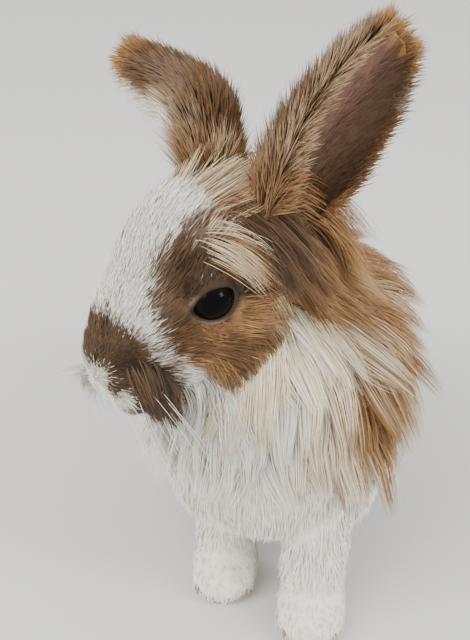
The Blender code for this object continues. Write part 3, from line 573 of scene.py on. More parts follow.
def ear_skin(side):
    """The ear's closed shell: its back, its inside and a thin rounded edge."""
    t, s = ear_grid()
    place, back, _, _ = ear_points(side, t, s)
    thick = EAR_SKIN / 2 * np.sqrt(np.maximum(0.02, 1 - np.abs(s) ** 6))
    ridges = 0.00035 * np.sin(s * 11) * np.exp(-((s / 0.7) ** 4))
    outer = place + back * thick[:, None]
    inner = place - back * (thick + ridges * smooth_step(0.15, 0.4, t))[:, None]
    count = len(t)
    points = np.vstack([outer, inner])
    grid = np.arange(count).reshape(EAR_ROWS, EAR_COLUMNS)
    quads = np.stack([grid[:-1, :-1], grid[:-1, 1:], grid[1:, 1:], grid[1:, :-1]], axis=-1).reshape(-1, 4)
    sheets = [quads, quads[:, ::-1] + count]
    border = np.concatenate([grid[0, :], grid[1:, -1], grid[-1, -2::-1], grid[-2:0:-1, 0]])
    following = np.roll(border, -1)
    sheets.append(np.stack([following, border, border + count, following + count], axis=1))
    quads = np.vstack(sheets)
    faces = np.vstack([quads[:, [0, 1, 2]], quads[:, [0, 2, 3]]]).astype(np.int32)
    a, b, c = np.moveaxis(points[faces] - points.mean(axis=0), 1, 0)
    if np.einsum("ij,ij->i", a, np.cross(b, c)).sum() < 0:
        faces = faces[:, ::-1]
    return points, faces, normals_of(points, faces)


# Noise and the coat's markings


def noise(points, size, seed=0):
    """Smooth noise from -1 to 1 with features of about that size."""
    grid = np.asarray(points) / size + 1000.0
    base = np.floor(grid).astype(np.int64)
    t = grid - base
    t = t * t * (3 - 2 * t)
    total = np.zeros(len(grid))
    for corner in range(8):
        step = np.array([(corner >> k) & 1 for k in range(3)])
        cell = base + step
        mixed = cell[:, 0] * 73856093 ^ cell[:, 1] * 19349663 ^ cell[:, 2] * 83492791 ^ (seed * 2654435761)
        mixed = (mixed ^ (mixed >> 13)) * 1274126177 & 0x7FFFFFFF
        value = (mixed ^ (mixed >> 16)) % 65536 / 32767.5 - 1
        weight = np.prod(np.where(step == 1, t, 1 - t), axis=1)
        total += value * weight
    return total


COLOURS = {
    "white": (0.94, 0.88, 0.77),
    "cream": (0.85, 0.70, 0.47),
    "sand": (0.55, 0.38, 0.21),
    "tan": (0.30, 0.155, 0.062),
    "orange": (0.42, 0.225, 0.085),
    "brown": (0.115, 0.058, 0.025),
    "umber": (0.105, 0.064, 0.034),
    "dark": (0.036, 0.021, 0.012),
    "grey": (0.25, 0.185, 0.135),
    "pink": (0.62, 0.36, 0.30),
    "lid": (0.22, 0.135, 0.10),
}

# Markings of the head and painted shade under the brow, in millimetres, painted in order. Each: the line it
# follows in the head's frame, its reach, its soft edge, colour, strength and side: 0 for both, 1 for the
# left alone.
HEAD_MARKS = (
    (((-52, 20, -10), (-30, 26, -4), (-24, 22, 18)), 19, 8, "tan", 0.95, 0),
    (((-25, 0, 30), (-44, 0, 14)), 13, 6, "tan", 0.9, 0),
    (((-2, 26, -12), (-18, 32, -18)), 20, 6, "tan", 1.0, 0),
    (((12, 22, -10), (4, 24, -16)), 12.5, 4, "tan", 1.0, 0),
    (((12, 16, 17), (19, 18, 4), (19, 21, -10)), 7.2, 3, "brown", 0.95, 0),
    (((7, 18, 19), (-3, 18, 23)), 6.6, 3, "brown", 0.95, 0),
    (((6, 25, -18), (-4, 28, -24), (-16, 33, -22)), 6.6, 6, "brown", 0.85, 0),
    (((-10, 26, 4), (-24, 29, -6)), 7.2, 4, "dark", 0.85, 0),
    (((10, 19, 10), (1, 20, 13), (-10, 23, 10)), 5.6, 3, "brown", 1.0, 0),
    (((13, 22, 4), (3, 25, 7), (-10, 26, 6)), 6, 3, "brown", 1.0, 0),
    # The two dark bands over the eye are painted shade under the brow, laid over the brown round the eye.
    (((14, 18, 12), (6, 20, 16), (-4, 21, 16)), 5, 6, "dark", 0.55, 0),
    (((13, 21, 7), (4, 23.5, 10.5), (-7, 24, 9.5)), 2.6, 3, "dark", 0.85, 0),
    (((-11, 26, -1), (-22, 29, -10)), 5, 6, "dark", 0.75, 0),
    (((-4, 21, 23), (-12, 24, 18), (-22, 27, 9)), 4, 3, "cream", 0.9, 0),
    (((-18, 18, 26), (-24, 22, 20)), 5, 4, "dark", 0.8, 0),
    (((-5, 30, -29), (-6, 33, -34)), 3.6, 3, "cream", 0.8, 1),
    (((35, 0, -8), (35, 8, -12)), 12.5, 2, "umber", 1.0, 0),
    (((32, 12, -18), (30, 14, -30), (24, 10, -42)), 9.6, 3, "umber", 1.0, 0),
    (((36, 12, -31), (30, 14, -38), (22, 12, -44)), 7, 3, "umber", 0.95, 0),
    (((36, 12, -10), (31, 16, -18), (26, 13, -38)), 4.6, 4, "dark", 0.85, 0),
    (((44, 4, -16), (46, 2, -24), (42, 3, -30)), 4.2, 2, "white", 0.9, 0),
    (((47, 0, -20.5), (46, 0, -26)), 2.6, 1.5, "pink", 0.9, 0),
)
# Fine darker and lighter streaks within the brown markings: their size along the coat and their strength.
STREAK_SIZE = 0.0030
STREAK_STRENGTH = 0.45
# Patches of the rump and the left flank: centre, reach each way and colour.
PATCHES = (
    ((0.0, 0.165, 0.075), (0.055, 0.035, 0.040), "brown"),
    ((0.050, 0.120, 0.060), (0.030, 0.028, 0.022), "tan"),
)


def plain(name, count):
    return np.tile(np.array(COLOURS[name]), (count, 1))


def mixed(colour, other, share):
    """The colours with a share of another, given by name or as numbers."""
    other = np.array(COLOURS[other] if isinstance(other, str) else other)
    return colour + (other - colour) * share[:, None]


def head_colour(points):
    """The markings and the painted shade under the brow at points of the head, given in the body's frame."""
    local = to_head(points)
    ragged = 0.0022 * noise(points, 0.0045, 1) + 0.0012 * noise(points, 0.0016, 2)
    colour = plain("white", len(points))
    folded = np.stack([local[:, 0], np.abs(local[:, 1]), local[:, 2]], axis=1)
    for line, reach, soft, name, strength, side in HEAD_MARKS:
        away = distance_to_line(folded, in_metres(line)) - reach / 1000 + ragged
        share = strength * (1 - smooth_step(-soft / 2000, soft / 2000, away))
        if side:
            share = share * (np.sign(local[:, 1]) == side)
        colour = mixed(colour, name, share)
    pale = colour.min(axis=1) > 0.25
    streaks = 1 + STREAK_STRENGTH * noise(points, STREAK_SIZE, 12) * ~pale
    return colour * streaks[:, None]


def body_colour(points):
    """The markings of trunk, legs and tail: a tan and brown saddle over white."""
    x, y, z = points.T
    ragged = 0.010 * noise(points, 0.030, 3) + 0.004 * noise(points, 0.009, 4)
    colour = plain("white", len(points))
    warm = smooth_step(0.05, 0.0, y) * smooth_step(0.05, 0.11, z)
    colour = mixed(colour, "cream", 0.35 * warm)
    saddle = smooth_step(0.074, 0.090, z + ragged * 1.4) * smooth_step(0.022, 0.040, y + ragged)
    colour = mixed(colour, "tan", 0.95 * saddle)
    spine = saddle * smooth_step(0.030, 0.010, np.abs(x) + ragged)
    colour = mixed(colour, "brown", 0.6 * spine)
    for centre, reach, name in PATCHES:
        away = np.linalg.norm((points - centre) / reach, axis=1) + ragged * 12
        colour = mixed(colour, name, 1 - smooth_step(0.8, 1.1, away))
    tail = smooth_step(0.198, 0.204, y) * smooth_step(0.030, 0.044, z + ragged)
    return mixed(colour, "brown", tail)


# The coat


class Field:
    """Signed distance to the skin on a grid, positive outside."""

    def __init__(self, points, faces, step=0.0030, margin=0.032):
        tree = BVHTree.FromPolygons(points.tolist(), faces.tolist())
        self.low = points.min(axis=0) - margin
        self.step = step
        shape = np.ceil((points.max(axis=0) + margin - self.low) / step).astype(int) + 1
        values = np.empty(shape)
        for i, j, k in np.ndindex(*shape):
            place = Vector(self.low + step * np.array((i, j, k)))
            near, normal, _, distance = tree.find_nearest(place)
            values[i, j, k] = distance if (place - near).dot(normal) > 0 else -distance
        slopes = np.gradient(values, step)
        self.grid = np.stack([values, *slopes], axis=-1)

    def at(self, points):
        """Distances and outward ways at the points."""
        place = (points - self.low) / self.step
        top = np.array(self.grid.shape[:3]) - 1.001
        place = np.clip(place, 0.0, top)
        base = place.astype(int)
        t = place - base
        total = np.zeros((len(points), 4))
        for corner in range(8):
            step = np.array([(corner >> k) & 1 for k in range(3)])
            cell = base + step
            weight = np.prod(np.where(step == 1, t, 1 - t), axis=1)
            total += self.grid[cell[:, 0], cell[:, 1], cell[:, 2]] * weight[:, None]
        return total[:, 0], unit(total[:, 1:])


def scatter(skin, count, weight):
    """Roots spread over the skin, denser where weight() is larger, with the skin's normals there."""
    points, faces, normals = skin
    corner = points[faces]
    area = np.linalg.norm(np.cross(corner[:, 1] - corner[:, 0], corner[:, 2] - corner[:, 0]), axis=1)
    edges = np.cumsum(area * weight(corner.mean(axis=1)))
    chosen = np.searchsorted(edges, rng.random(count) * edges[-1])
    a, b = rng.random(count), rng.random(count)
    over = a + b > 1
    a, b = np.where(over, 1 - a, a), np.where(over, 1 - b, b)
    shares = np.stack([1 - a - b, a, b], axis=1)[:, :, None]
    return (corner[chosen] * shares).sum(axis=1), unit((normals[faces[chosen]] * shares).sum(axis=1))


def tangent(ways, normals):
    return unit(ways - normals * np.einsum("ij,ij->i", ways, normals)[:, None])


def grow(roots, facing, lie, length, lift, hang, steps, field=None, clear=0.0, sink=0.0015):
    """Paths of hairs from just under the skin: out along the lie, then bent down as far as hang says.

    Returns the places, one row a hair, and the outward way at each.
    """
    lift = np.broadcast_to(lift, len(roots))[:, None]
    bend = np.broadcast_to(hang, len(roots))[:, None]
    ways = lie * np.cos(lift) + facing * np.sin(lift)
    places, outs = [roots - facing * sink], [facing]
    step = (length / steps)[:, None]
    place, out = roots, facing
    for k in range(1, steps + 1):
        place = place + ways * step
        if field is not None:
            distance, out = field.at(place)
            short = np.maximum(0.0, clear * (k / steps) ** 0.6 - distance)
            place = place + out * short[:, None]
        places.append(place)
        outs.append(out)
        ways = unit(ways * (1 - bend) + (lie * 0.35 + DOWN * 0.65) * bend)
        inward = np.minimum(0.0, np.einsum("ij,ij->i", ways, out))
        close = 1.0 if field is None else smooth_step(0.006, 0.001, distance - clear)
        ways = unit(ways - out * (inward * close)[:, None])
    return np.stack(places, axis=1), np.stack(outs, axis=1)


def gathered(places, roots, locks, strength):
    """The hairs drawn together towards their tips into that many locks."""
    chosen = rng.choice(len(roots), locks, replace=False)
    tree = KDTree(locks)
    for i, index in enumerate(chosen):
        tree.insert(roots[index], i)
    tree.balance()
    lock_of = np.array([tree.find(root)[1] for root in roots])
    guide = chosen[lock_of]
    share = np.linspace(0.0, 1.0, places.shape[1]) ** 1.3
    offset = (roots - roots[guide])[:, None, :]
    straight = places[guide] + offset
    pull = share[None, :, None] * strength
    made = places * (1 - pull) + (straight * 0.35 + places[guide] * 0.65) * pull
    return made, lock_of


# A hair's width at places along it, and how far its shading turns aside at its two edges: little, so that
# the coat shades as one soft form.
TAPER = ((0.0, 0.25, 0.7, 1.0), (0.75, 1.0, 0.72, 0.10))
LEAN = 0.28


def tufts(name, places, outs, width, colour, uv, material, flat=0.45, soft=True):
    """One mesh of tapered hairs with three sides. Colour holds each hair's colour at root and tip.

    Soft hairs shade like the surface they lie on instead of each by itself.
    """
    count, rows = places.shape[:2]
    along = unit(np.gradient(places, axis=1))
    out = unit(outs - along * np.einsum("ijk,ijk->ij", outs, along)[..., None])
    across = np.cross(along, out)
    taper = np.interp(np.linspace(0, 1, rows), *TAPER)
    half = (width[:, None] * taper)[..., None] / 2
    left = places - across * half - out * half * flat
    right = places + across * half - out * half * flat
    ridge = places + out * half * flat
    rings = np.stack([left, right, ridge], axis=2)[:, :-1]
    body = rows - 1
    points = np.concatenate([rings.reshape(count, body * 3, 3), places[:, -1:]], axis=1)
    per = body * 3 + 1
    quads = [
        (k * 3 + c, k * 3 + 3 + c, k * 3 + 3 + (c + 1) % 3, k * 3 + (c + 1) % 3)
        for k in range(body - 1)
        for c in range(3)
    ]
    last = (body - 1) * 3
    triangles = [(last + (c + 1) % 3, last + c, per - 1) for c in range(3)] + [(0, 1, 2)]
    offsets = np.arange(count)[:, None, None] * per
    quads = (np.array(quads, np.int32).reshape(-1, 4)[None] + offsets).reshape(-1, 4)
    triangles = (np.array(triangles, np.int32)[None] + offsets).reshape(-1, 3)
    share = np.append(np.repeat(np.arange(body) / body, 3), 1.0)[None, :, None]
    shade = colour[0][:, None] * (1 - share) + colour[1][:, None] * share
    side = np.append(np.tile((-1.0, 1.0, 0.0), body), 0.0)
    patch = np.stack([side * 0.0010, (share[0, :, 0] - 0.5) * 0.0028], axis=1)
    spots = (uv[:, None] + patch[None]).reshape(-1, 2)
    points, shade = points.reshape(-1, 3), shade.reshape(-1, 3)
    hairs = mesh_object(name, points, quads, triangles, shade, material, spots)
    if not soft:
        return hairs
    lean = np.stack([out - across * LEAN, out + across * LEAN, out], axis=2)[:, :-1]
    facing = np.concatenate([lean.reshape(count, body * 3, 3), out[:, -1:]], axis=1)
    hairs.data.normals_split_custom_set_from_vertices(unit(facing).reshape(-1, 3).tolist())
    return hairs


def mesh_object(name, points, quads, triangles, colour, material, uv=None):
    """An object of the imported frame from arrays, with its colours as the attribute coat."""
    mesh = bpy.data.meshes.new(name)
    mesh.vertices.add(len(points))
    mesh.vertices.foreach_set("co", (points + np.array(BODY)).astype(np.float32).ravel())
    corners = np.concatenate([quads.ravel(), triangles.ravel()]).astype(np.int32)
    sizes = np.concatenate([np.full(len(quads), 4), np.full(len(triangles), 3)])
    mesh.loops.add(len(corners))
    mesh.loops.foreach_set("vertex_index", corners)
    mesh.polygons.add(len(sizes))
    mesh.polygons.foreach_set("loop_start", np.concatenate([[0], np.cumsum(sizes)[:-1]]).astype(np.int32))
    mesh.update(calc_edges=True)
    if uv is not None:
        layer = mesh.uv_layers.new(name="OFBake")
        layer.data.foreach_set("uv", uv[corners].astype(np.float32).ravel())
    attribute = mesh.color_attributes.new("coat", "FLOAT_COLOR", "POINT")
    rgba = np.concatenate([np.clip(colour, 0.0, 1.0), np.ones((len(colour), 1))], axis=1)
    attribute.data.foreach_set("color", rgba.astype(np.float32).ravel())
    mesh.shade_smooth()
    mesh.materials.append(material)
    obj = bpy.data.objects.new(name, mesh)
    bpy.context.scene.collection.objects.link(obj)
    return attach(obj, RIG)


RIG = "root" if "root" in frame["bodies"] else sorted(frame["bodies"])[0]


# Materials


def node_material(name):
    material = bpy.data.materials.new(name)
    material.use_nodes = True
    tree = material.node_tree
    return material, tree, tree.nodes["Principled BSDF"]


def painted_material(name, size, detail, low, high):
    """A material with the painted coat's colour, from low to high times as bright in a fine grain."""
    material, tree, shader = node_material(name)
    painted = tree.nodes.new("ShaderNodeAttribute")
    painted.attribute_name = "coat"
    place = tree.nodes.new("ShaderNodeNewGeometry")
    grain = tree.nodes.new("ShaderNodeTexNoise")
    grain.inputs["Scale"].default_value = size
    grain.inputs["Detail"].default_value = detail
    value = tree.nodes.new("ShaderNodeMapRange")
    value.inputs["To Min"].default_value = low
    value.inputs["To Max"].default_value = high
    tint = tree.nodes.new("ShaderNodeVectorMath")
    tint.operation = "SCALE"
    tree.links.new(place.outputs["Position"], grain.inputs["Vector"])
    tree.links.new(grain.outputs["Fac"], value.inputs["Value"])
    tree.links.new(painted.outputs["Color"], tint.inputs[0])
    tree.links.new(value.outputs["Result"], tint.inputs["Scale"])
    tree.links.new(tint.outputs["Vector"], shader.inputs["Base Color"])
    return material, tree, shader, grain


def coat_material(name, roughness, bump_size, bump_height):
    """Skin, hair or horn with its fine streaks in the bump as well."""
    material, tree, shader, grain = painted_material(name, bump_size, 4.0, 0.80, 1.16)
    bump = tree.nodes.new("ShaderNodeBump")
    bump.inputs["Strength"].default_value = 0.5
    bump.inputs["Distance"].default_value = bump_height
    tree.links.new(grain.outputs["Fac"], bump.inputs["Height"])
    tree.links.new(bump.outputs["Normal"], shader.inputs["Normal"])
    shader.inputs["Roughness"].default_value = roughness
    shader.inputs["Specular IOR Level"].default_value = 0.25
    return material


def eye_material():
    """The painted pupil and iris under a thin wet coat."""
    material, _, shader, _ = painted_material("eye", 900.0, 2.0, 0.7, 1.3)
    shader.inputs["Roughness"].default_value = 0.12
    shader.inputs["Specular IOR Level"].default_value = 0.02
    shader.inputs["Coat Weight"].default_value = 0.06
    shader.inputs["Coat Roughness"].default_value = 0.02
    return material


def build_skin():
    """The skins of body and head, each as points, triangles and normals."""
    bm = bmesh.new()
    body_forms(bm)
    points, faces, normals = blended(bm, BODY_CELL, BODY_SMOOTHING)
    points = points - normals * coat_depth(points)[:, None]
    points[:, 2] = np.maximum(points[:, 2], 0.0)
    body = (points, faces, normals_of(points, faces))
    bm = bmesh.new()
    head_forms(bm)
    points, faces, _ = blended(bm, HEAD_CELL, HEAD_SMOOTHING)
    points, faces, normals = refined(points, faces, near_face)
    points = carve_face(points, normals)
    return body, (points, faces, normals_of(points, faces))


body_skin, head_skin = build_skin()
ear_skins = {side: ear_skin(side) for side in SIDES}


def union_field():
    """The distance field that the hairs keep clear of."""
    bm = bmesh.new()
    for points, faces, _ in (body_skin, head_skin):
        verts = [bm.verts.new(p) for p in points]
        for face in faces:
            bm.faces.new([verts[i] for i in face])
    points, faces, _ = blended(bm, FIELD_CELL, 0)
    return Field(points, faces)


field = union_field()


EAR_LINING = (0.19, 0.100, 0.070)
LID_EDGE = (0.03, 0.018, 0.015)


def ear_colour(side, t, s, inner):
    """The ear's back is brown with an orange rim at the tip, its inside pinkish grey with a dark front."""
    front = s * EAR[side]["front"]
    here = np.stack([t * 0.09, s * 0.03, np.full_like(t, 0.5 * side)], axis=1)
    ragged = 0.5 * noise(here, 0.010, 5) + 0.5 * noise(here, 0.003, 6)
    colour = plain("brown", len(t)) * 1.25
    near = 0.75 if side > 0 else 0.45
    colour = mixed(colour, "grey", near * smooth_step(-0.3, 0.4, ragged + front * 0.3))
    colour = mixed(colour, "sand", 0.45 * smooth_step(0.6, 1.0, front + 0.3 * ragged))
    if side < 0:
        colour = mixed(colour, "white", 0.9 * smooth_step(0.84, 0.97, front + 0.1 * ragged))
        spot = np.hypot((t - 0.22) / 0.07, (front - 0.25) / 0.26) + 0.4 * ragged
        colour = mixed(colour, "cream", 0.8 * (1 - smooth_step(0.7, 1.1, spot)))
    rim = smooth_step(0.86, 0.96, t + 0.04 * ragged)
    colour = mixed(colour, "orange", 0.8 * rim)
    base = smooth_step(0.34, 0.20, t + 0.06 * ragged)
    colour = mixed(colour, "tan", 0.6 * base)
    inside = np.tile(EAR_LINING, (len(t), 1))
    inside = mixed(inside, "umber", 0.75 * smooth_step(0.05, 0.75, -front + 0.3 * ragged))
    inside = mixed(inside, "dark", 0.85 * smooth_step(0.30, 0.75, front + 0.2 * ragged))
    inside = mixed(inside, "orange", 0.9 * smooth_step(0.93, 0.985, t + 0.03 * ragged))
    return mixed(colour, inside, inner.astype(float))


def head_shade():
    """The skin of the head, with bare lids round the eyes, dark behind and above for lashes and painted
    shade.
    """
    points = head_skin[0]
    shade = head_colour(points) * 0.85
    local = to_head(points)
    for side in SIDES:
        out = lid_reach(local, side)
        bare = 1 - smooth_step(0.0006, 0.0022, out)
        corner = smooth_step(0.001, 0.008, local[:, 0] - 0.6 * local[:, 2])
        # Dark over the bare lid: the lashes, and painted shade from the brow on the upper lid.
        shade = mixed(shade, "dark", 0.9 * bare)
        shade = mixed(shade, "lid", 0.9 * bare * corner)
        shade = mixed(shade, LID_EDGE, 0.9 * (1 - smooth_step(0.0001, 0.0006, out)))
    return shade


def ear_shade(side):
    t, s = (np.tile(part, 2) for part in ear_grid())
    inner = np.arange(len(t)) >= EAR_ROWS * EAR_COLUMNS
    return ear_colour(side, t, s, inner) * np.where(inner, 1.0, 0.9)[:, None]


def add_skin():
    """One skin for all the flesh: trunk, legs, head and ears."""
    parts = [body_skin, head_skin, *ear_skins.values()]
    colours = [body_colour(body_skin[0]) * 0.9, head_shade(), *(ear_shade(side) for side in SIDES)]
    starts = np.cumsum([0] + [len(points) for points, _, _ in parts])
    points = np.vstack([part[0] for part in parts])
    faces = np.vstack([part[1] + start for part, start in zip(parts, starts)])
    none = np.empty((0, 4), np.int32)
    material = coat_material("skin", 0.75, 900.0, 0.0003)
    skin = mesh_object("skin", points, none, faces, np.vstack(colours), material)
    flesh = [name for name in frame["nodes"] if not name.startswith("eye")]
    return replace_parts(skin, *flesh)


add_skin()
fur = coat_material("fur", 0.62, 1500.0, 0.00005)


def with_chance(colour, spread, extra=0.0):
    """Colours of hairs at root and tip, each a little lighter or darker than the markings."""
    value = 1 + spread * rng.standard_normal(len(colour))[:, None]
    warm = 1 + 0.04 * rng.standard_normal((len(colour), 3))
    tip = np.clip(colour * value * warm * (1.04 + extra), 0.01, 0.95)
    return tip * 0.80, tip


def head_lie(roots, normals):
    """The lie of the face: back from the nose over brow and cheeks, parting round the eyes."""
    local = to_head(roots)
    way = unit(local - np.array((0.050, 0.0, -0.020)))
    low = smooth_step(-0.004, -0.030, local[:, 2]) * smooth_step(0.034, 0.010, local[:, 0])
    way = way + np.array((-0.2, 0.0, -0.9)) * low[:, None]
    for side in SIDES:
        off = local - eye_middle(side)
        near = np.exp(-((np.linalg.norm(off, axis=1) - EYE_RADIUS) / 0.006) ** 2)
        way = way + unit(off * (1, 0.2, 1)) * (0.9 * near)[:, None]
    return tangent(head_way(way), normals)


def spherical(roots):
    """Places on the head's texture."""
    local = to_head(roots) - (0.0, 0.0, -0.005)
    turn = np.arctan2(local[:, 1], local[:, 0]) / (2 * math.pi) + 0.5
    rise = np.arcsin(np.clip(local[:, 2] / np.linalg.norm(local, axis=1), -1, 1)) / math.pi + 0.5
    return np.stack([turn, rise], axis=1)


def cylindrical(roots, low=-0.03, high=0.24):
    """Places on the trunk's texture, round its length."""
    turn = np.arctan2(roots[:, 0], roots[:, 2] - 0.06) / (2 * math.pi) + 0.5
    return np.stack([turn, (roots[:, 1] - low) / (high - low)], axis=1)


def clear_of_openings(roots):
    local = to_head(roots)
    nose = np.linalg.norm(local - NOSE, axis=1) < 0.0034
    return ~((from_lids(local) < 0.0007) | nose)


def flow_noise(roots, size, strength):
    """A slow wander of the lie, so that the coat flows instead of bristling."""
    return strength * np.stack([noise(roots, size, seed) for seed in (21, 22, 23)], axis=1)


def wandering(roots, lie, normals, chance, size=None, strength=0.0):
    """The lie with each hair's own chance and a slow flow of that size."""
    lie = lie + chance * rng.standard_normal(lie.shape)
    return tangent(lie if size is None else lie + flow_noise(roots, size, strength), normals)


def uneven(size, count, low=0.7, high=1.2):
    """A length or width, different from hair to hair."""
    return size * rng.uniform(low, high, count)


def raised(degrees, spread, count):
    """The angle at which each hair rises from the skin."""
    return np.radians(degrees + spread * rng.standard_normal(count))


# A root further than this under the joined skin is sunk in another form.
DEEPEST_ROOT = -0.0025


def rooted(skin, count, weight):
    """Roots on the skin, without those sunk in another form."""
    roots, normals = scatter(skin, count, weight)
    keep = field.at(roots)[0] > DEEPEST_ROOT
    return roots[keep], normals[keep]


def split_tufts(pieces, places, outs, width, colour, uv):
    """The hairs as one piece for each name, with the hairs chosen for it."""
    for name, chosen in pieces.items():
        shade = [part[chosen] for part in colour]
        tufts(name, places[chosen], outs[chosen], width[chosen], shade, uv[chosen], fur)


# How far apart the two sides of a marking's edge mix their hairs.
FEATHERING = 0.0013
# How many hairs each coat has, and how many locks they gather into.
FACE_HAIRS = 30000
NECK_HAIRS, NECK_LOCKS = 13200, 330
BODY_HAIRS, BODY_LOCKS = 12500, 2600
LEG_HAIRS = 11000
TAIL_HAIRS, TAIL_LOCKS = 1900, 320
EAR_BACK_HAIRS = {1: 6200, -1: 4700}
EAR_EDGE_HAIRS = 1900
EAR_INSIDE_HAIRS = {1: 2200, -1: 1300}
# The length of hair at the back and front of the face, its width in front and how much wider it is behind.
FACE_LENGTH = (0.0100, 0.0036)
FACE_WIDTH = (0.00034, 0.00018)
NECK_WIDTH = 0.00033
# Where the face's hair ends along the head, and where the neck's coat parts into its two pieces.
FACE_REAR = -0.042
NECK_MIDDLE = 0.004
# How deep the roots of short hair sit, and how near the floor hairs may come.
SHORT_SINK = 0.0008
LOWEST_HAIR = 0.0006
LOWEST_ROOT = 0.0012
TAIL_START = 0.190


def face_coat():
    """Short fur of the face, in two halves."""
    def on_face(p):
        local = to_head(p)
        return (1.0 + 1.2 * smooth_step(-0.005, 0.02, local[:, 0])) * (1.0 + 0.5 * (local[:, 1] > 0))

    roots, normals = rooted(head_skin, FACE_HAIRS, on_face)
    keep = clear_of_openings(roots) & (to_head(roots)[:, 0] > FACE_REAR)
    roots, normals = roots[keep], normals[keep]
    local, count = to_head(roots), len(roots)
    forward = smooth_step(-0.012, 0.040, local[:, 0])
    back, front = FACE_LENGTH
    length = back * (1 - forward) + front * forward
    length = length * (0.35 + 0.65 * smooth_step(0.001, 0.010, from_lids(local)))
    crown = smooth_step(0.018, 0.032, local[:, 2])
    nose = smooth_step(0.004, 0.014, np.linalg.norm(local - NOSE, axis=1))
    length = uneven(length * (1 - 0.35 * crown) * (0.35 + 0.65 * nose), count, 0.7, 1.25)
    lift = raised(12, 4, count)
    lie = wandering(roots, head_lie(roots, normals), normals, 0.13, 0.006, 0.25)
    hang = 0.05 + 0.12 * (1 - forward)
    places, outs = grow(roots, normals, lie, length, lift, hang, 2, sink=SHORT_SINK)
    width = uneven(FACE_WIDTH[0] + FACE_WIDTH[1] * (1 - forward), count)
    colour = with_chance(head_colour(roots + FEATHERING * rng.standard_normal(roots.shape)), 0.16)
    halves = {"fur_face_left": local[:, 1] >= 0, "fur_face_right": local[:, 1] < 0}
    split_tufts(halves, places, outs, width, colour, spherical(roots))


face_coat()


def mane_turn(roots):
    """How far round the neck a place is, from the throat towards the rabbit's left."""
    return np.arctan2(roots[:, 0] + 0.010, -(roots[:, 1] - 0.030))


def mane_colour(roots):
    """White at throat and chest, cream beside them, tan at the sides and nape."""
    around = mane_turn(roots) + 0.20 * noise(roots, 0.008, 8) + 0.12 * noise(roots, 0.003, 9)
    colour = plain("white", len(roots))
    colour = mixed(colour, "cream", smooth_step(0.25, 0.60, around) * 0.85)
    colour = mixed(colour, "tan", smooth_step(0.70, 1.00, around))
    colour = mixed(colour, "tan", smooth_step(-1.2, -1.9, around))
    streak = smooth_step(0.30, 0.7, noise(roots, 0.006, 10)) * smooth_step(0.8, 1.1, np.abs(around))
    return mixed(colour, "cream", 0.75 * streak)


def neck_coat():
    """The long silky hair of the neck and ruff, longest at the sides, in two halves."""
    def on_neck(p):
        return smooth_step(0.080, 0.098, p[:, 2] + 0.20 * (0.02 - p[:, 1]))

    roots, normals = rooted(body_skin, NECK_HAIRS, on_neck)
    count = len(roots)
    centre = from_head(np.array((-0.015, 0.0, 0.0)))
    lie = tangent(unit(roots - centre) * 0.5 + DOWN * 0.8, normals)
    lie = wandering(roots, lie, normals, 0.06, 0.014, 0.40)
    sides = smooth_step(0.5, 1.3, np.abs(mane_turn(roots)))
    length = uneven(0.024 + 0.013 * sides, count)
    lift = raised(16 + 8 * sides, 5, count)
    depth = uneven(0.0065 + 0.0050 * sides, count, 0.1, 1.0)
    places, outs = grow(roots, normals, lie, length, lift, 0.30, 4, field, depth)
    places, lock_of = gathered(places, roots, NECK_LOCKS, 0.75)
    tone = 1 + 0.09 * rng.standard_normal(lock_of.max() + 1)
    colour = with_chance(mane_colour(roots) * tone[lock_of][:, None], 0.05)
    width = uneven(NECK_WIDTH, count, 0.6, 1.3)
    left = roots[:, 0] >= NECK_MIDDLE
    uv = cylindrical(roots[:, [0, 2, 1]], 0.06, 0.19)
    split_tufts({"mane_neck_left": left, "mane_neck_right": ~left}, places, outs, width, colour, uv)


neck_coat()

